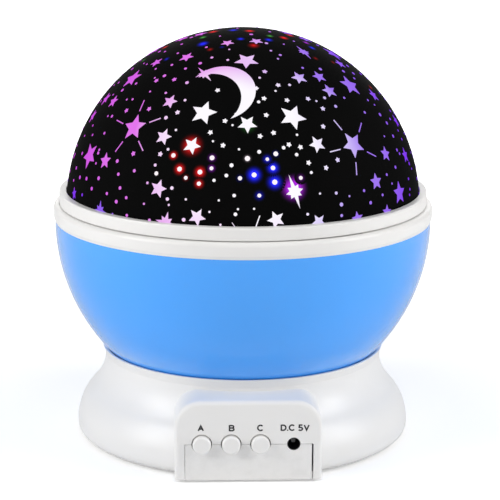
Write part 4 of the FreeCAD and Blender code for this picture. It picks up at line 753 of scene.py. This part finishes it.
def tracks(one, other, track, pad):
    """Copper tracks that show through the solder mask, as the joints of a brick wall laid in two
    axes of the board, and tinned pads in the middle of a square grid's cells."""
    def draw(place, paint):
        shader = place.shader
        flat = shader.node("ShaderNodeCombineXYZ", inputs=[axis_of(place, one), axis_of(place, other)])
        joints = shader.node("ShaderNodeTexBrick", {"offset": 0.37, "squash": 1.6, "squash_frequency": 3}, {
            "Vector": flat, "Scale": 0.55, "Mortar Size": 0.05, "Mortar Smooth": 0.2,
            "Brick Width": 1.7, "Row Height": 0.75}, output="Fac")
        spots = shader.node("ShaderNodeTexVoronoi", {"feature": "F1"}, {
            "Vector": flat, "Scale": 0.42, "Randomness": 0.45}, output="Distance")
        paint = blend(joints, paint, track)
        return blend((PAD_REACH - spots) * PAD_RISE, paint, pad)
    return draw


looks["control_board"] = moulded(
    "green_solder_mask", (0.012, 0.115, 0.045), 0.3, drift=0.2, mottle=0.1, Coat_Weight=0.4,
    pattern=tracks("X", "Z", (0.03, 0.24, 0.09, 1), (0.60, 0.58, 0.50, 1)))
looks["led_board"] = moulded(
    "white_solder_mask", (0.80, 0.80, 0.77), 0.34, drift=0.05, mottle=0.1, Coat_Weight=0.3,
    pattern=tracks("X", "Y", (0.70, 0.70, 0.66, 1), (0.55, 0.53, 0.46, 1)))


# Lamps
# Four lamps on the round board, of cast epoxy with round tops: white, red, green and blue. Each glows
# most at the crown of its lens.
def lamp(name, node, colour, glow):
    """Clear coloured resin with light that grows with height above the board."""
    shader = moulded(name, colour, 0.08, drift=0.1, mottle=0.05, depth=0.02, Coat_Weight=0.5)
    surface = next(part for part in shader.tree.nodes if part.type == "BSDF_PRINCIPLED")
    low, high = corners(node)
    place = shader.node("ShaderNodeTexCoord", output="Object")
    rise = (axis_of(place, "Z") - low.z) / (high.z - low.z)
    lit = blend(rise * rise, (0, 0, 0, 1), glow)
    shader.tree.links.new(lit.link, surface.inputs["Emission Color"])
    surface.inputs["Emission Strength"].default_value = 1.0
    return shader


looks["led_white"] = lamp("lamp_clear", "led_white", (0.80, 0.80, 0.76), (0.9, 0.88, 0.8, 1))
looks["led_red"] = lamp("lamp_red", "led_red", (0.62, 0.03, 0.03), (0.9, 0.03, 0.02, 1))
looks["led_green"] = lamp("lamp_green", "led_green", (0.03, 0.45, 0.08), (0.02, 0.7, 0.08, 1))
looks["led_blue"] = lamp("lamp_blue", "led_blue", (0.04, 0.08, 0.62), (0.02, 0.06, 0.95, 1))


# Wires
# Tinned copper in soft vinyl: a bundle of five to the lamps, a red and a black one to the motor
# and to the batteries.
RED_VINYL = (0.50, 0.02, 0.018, 1)
BLACK_VINYL = (0.02, 0.02, 0.021, 1)
BUNDLE = [(0.0, BLACK_VINYL), (0.2, RED_VINYL), (0.4, (0.02, 0.32, 0.06, 1)),
          (0.6, (0.02, 0.07, 0.50, 1)), (0.8, (0.72, 0.72, 0.70, 1))]
motor_leads = corners("motor_leads")
LEAD_WIDTH = 1.2
LEAD_GAP = 0.1
LEAD_EDGE_RISE = 50


def five_wires(place, paint):
    """Five colours side by side across the bundle."""
    low, high = corners("lamp_wires")
    across = (axis_of(place, "X") - low.x) / (high.x - low.x)
    return place.shader.node("ShaderNodeValToRGB", {"stops": BUNDLE}, [across])


def motor_pair(place, paint):
    """Red outside the bend, black inside it: the outer lead is the one further right or higher."""
    outside = (axis_of(place, "X") - (motor_leads[1].x - LEAD_WIDTH - LEAD_GAP)).maths(
        "MAXIMUM", axis_of(place, "Z") - (motor_leads[1].z - LEAD_WIDTH - LEAD_GAP))
    return blend(outside * LEAD_EDGE_RISE, BLACK_VINYL, RED_VINYL)


def battery_pair(place, paint):
    """Red on the right, black on the left."""
    return blend(axis_of(place, "X"), BLACK_VINYL, RED_VINYL)


for name, pattern in (("lamp_wires", five_wires), ("motor_leads", motor_pair),
                      ("battery_leads", battery_pair)):
    looks[name] = moulded(name + "_vinyl", (0.5, 0.5, 0.5), 0.42, mottle=0.14, depth=0.08,
                          pattern=pattern)

looks["dome_shell"] = dome_print
for name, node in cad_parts.items():
    node.data.materials.clear()
    node.data.materials.append(looks[name].block)


# Panel marks
# One letter over each button and the power jack's voltage over its mouth. Black ink, pad-printed on
# the white panel.
MARK_HEIGHT = 2.05
MARK_BOTTOM = 16.2
MARK_STROKE = 0.46
MARK_THICK = 0.02
# How far each mark stands to the right of the middle of its button or mouth
MARK_SHIFTS = {"A": -0.3, "B": 0.15, "C": -0.1, "D.C 5V": 0.35}
# Turns the sum of two corners in metres into their middle in millimetres
HALF_SUM = 500


def bow(across, up, wide, tall, first, last):
    """Part of an ellipse: (across + wide * cos t, up + tall * sin t), t in degrees."""
    return np.array([across, up]) + arc((0, 0), 1, first, last, 17) * (wide, tall)


# Each letter's strokes on a square of height 1, drawn along the middle of the pen
LETTERS = {
    "A": ([[(0, 0), (0.42, 1), (0.84, 0)], [(0.18, 0.36), (0.66, 0.36)]], 0.84),
    "B": ([[(0, -0.1), (0, 1.1)], [(0, 1), *bow(0.42, 0.76, 0.26, 0.24, 90, -90), (0, 0.52)],
           [(0, 0.52), *bow(0.46, 0.26, 0.28, 0.26, 90, -90), (0, 0)]], 0.74),
    "C": ([bow(0.46, 0.5, 0.46, 0.52, 42, 318)], 0.84),
    "D": ([[(0, -0.1), (0, 1.1)], [(0, 1), *bow(0.34, 0.5, 0.42, 0.5, 90, -90), (0, 0)]], 0.76),
    ".": ([[(0, -0.1), (0, 0.12)]], 0.0),
    "5": ([[(0.66, 1), (0.15, 1), (0.10, 0.44)], bow(0.30, 0.25, 0.36, 0.29, 126, -140)], 0.66),
    "V": ([[(0, 1), (0.40, 0), (0.80, 1)]], 0.80),
    " ": ([], 0.10),
}
LETTER_GAP = 0.30
LETTER_STRETCH = 1.12


def stroke(path):
    """A flat bar of ink along a path: at each point, half the pen's width to either side along
    the mitre, at the front and at the back of the ink, with the ends closed."""
    path = np.asarray(path, float)
    along = np.diff(path, axis=0)
    along /= np.linalg.norm(along, axis=1)[:, None]
    before, after = np.vstack([along[:1], along]), np.vstack([along, along[-1:]])
    mitre = before + after
    mitre /= np.linalg.norm(mitre, axis=1)[:, None]
    mitre /= (mitre * before).sum(1)[:, None]
    aside = np.stack([-mitre[:, 1], mitre[:, 0]], -1) * MARK_STROKE / 2
    rim = np.stack([path + aside, path - aside, path - aside, path + aside], 1)
    depth = np.array([-1, -1, 1, 1]) * MARK_THICK + panel_front + 0 * rim[..., 0]
    points = np.stack([rim[..., 0], depth, rim[..., 1]], -1).reshape(-1, 3)
    last = len(points) - 4
    return points, np.vstack([grid_faces(len(path), 4, rows_close=False),
                              [(0, 1, 2, 3), (last, last + 1, last + 2, last + 3)]])


def writing(text, middle):
    """The strokes of a row of letters, centred on a place across the panel."""
    height = MARK_HEIGHT - MARK_STROKE
    strokes, start = [], 0.0
    for letter in text:
        paths, width = LETTERS[letter]
        strokes += [np.asarray(path, float) + (start, 0) for path in paths]
        start += width + LETTER_GAP
    length = start - LETTER_GAP
    return joined(*(stroke((path - (length / 2, 0)) * (height * LETTER_STRETCH, height)
                           + (middle, MARK_BOTTOM + MARK_STROKE / 2)) for path in strokes))


panel_front = corners("base_housing")[0].y
button_places = [sum(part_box("button_" + letter), Vector()).x * HALF_SUM for letter in "abc"]
jack_place = sum(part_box("dc_jack"), Vector()).x * HALF_SUM
ink_black = moulded("panel_ink", (0.012, 0.012, 0.014), 0.5, drift=0.3, scale=4000.0)
for name, text, place in (
        ("mark_a", "A", button_places[0]), ("mark_b", "B", button_places[1]),
        ("mark_c", "C", button_places[2]), ("mark_power", "D.C 5V", jack_place)):
    closed_piece(name, *writing(text, place + MARK_SHIFTS[text]), ink_black, "base", "black_plastic",
                 sharp=20.0)


# Jack lining
# The black barrel of the power jack, which lines the hole in the panel. Nylon, moulded in one with
# the jack's body.
LINING_OUTSIDE = 1.99
LINING_INSIDE = 1.86
LINING_SINK = 0.12
LINING_LAP = 0.02
LINING_STEPS = 64
jack_face = corners("dc_jack")[0].y
jack_height = (corners("dc_jack")[0].z + corners("dc_jack")[1].z) / 2
lining_back, lining_front = jack_face - LINING_LAP, panel_front + LINING_SINK
ring, ring_faces = turned([(LINING_INSIDE, lining_back), (LINING_OUTSIDE, lining_back),
                           (LINING_OUTSIDE, lining_front), (LINING_INSIDE, lining_front)], LINING_STEPS)
lined = np.stack([jack_place + ring[:, 0], ring[:, 2], jack_height + ring[:, 1]], -1)
closed_piece("jack_barrel", lined, ring_faces, black_nylon, "base", "black_plastic")
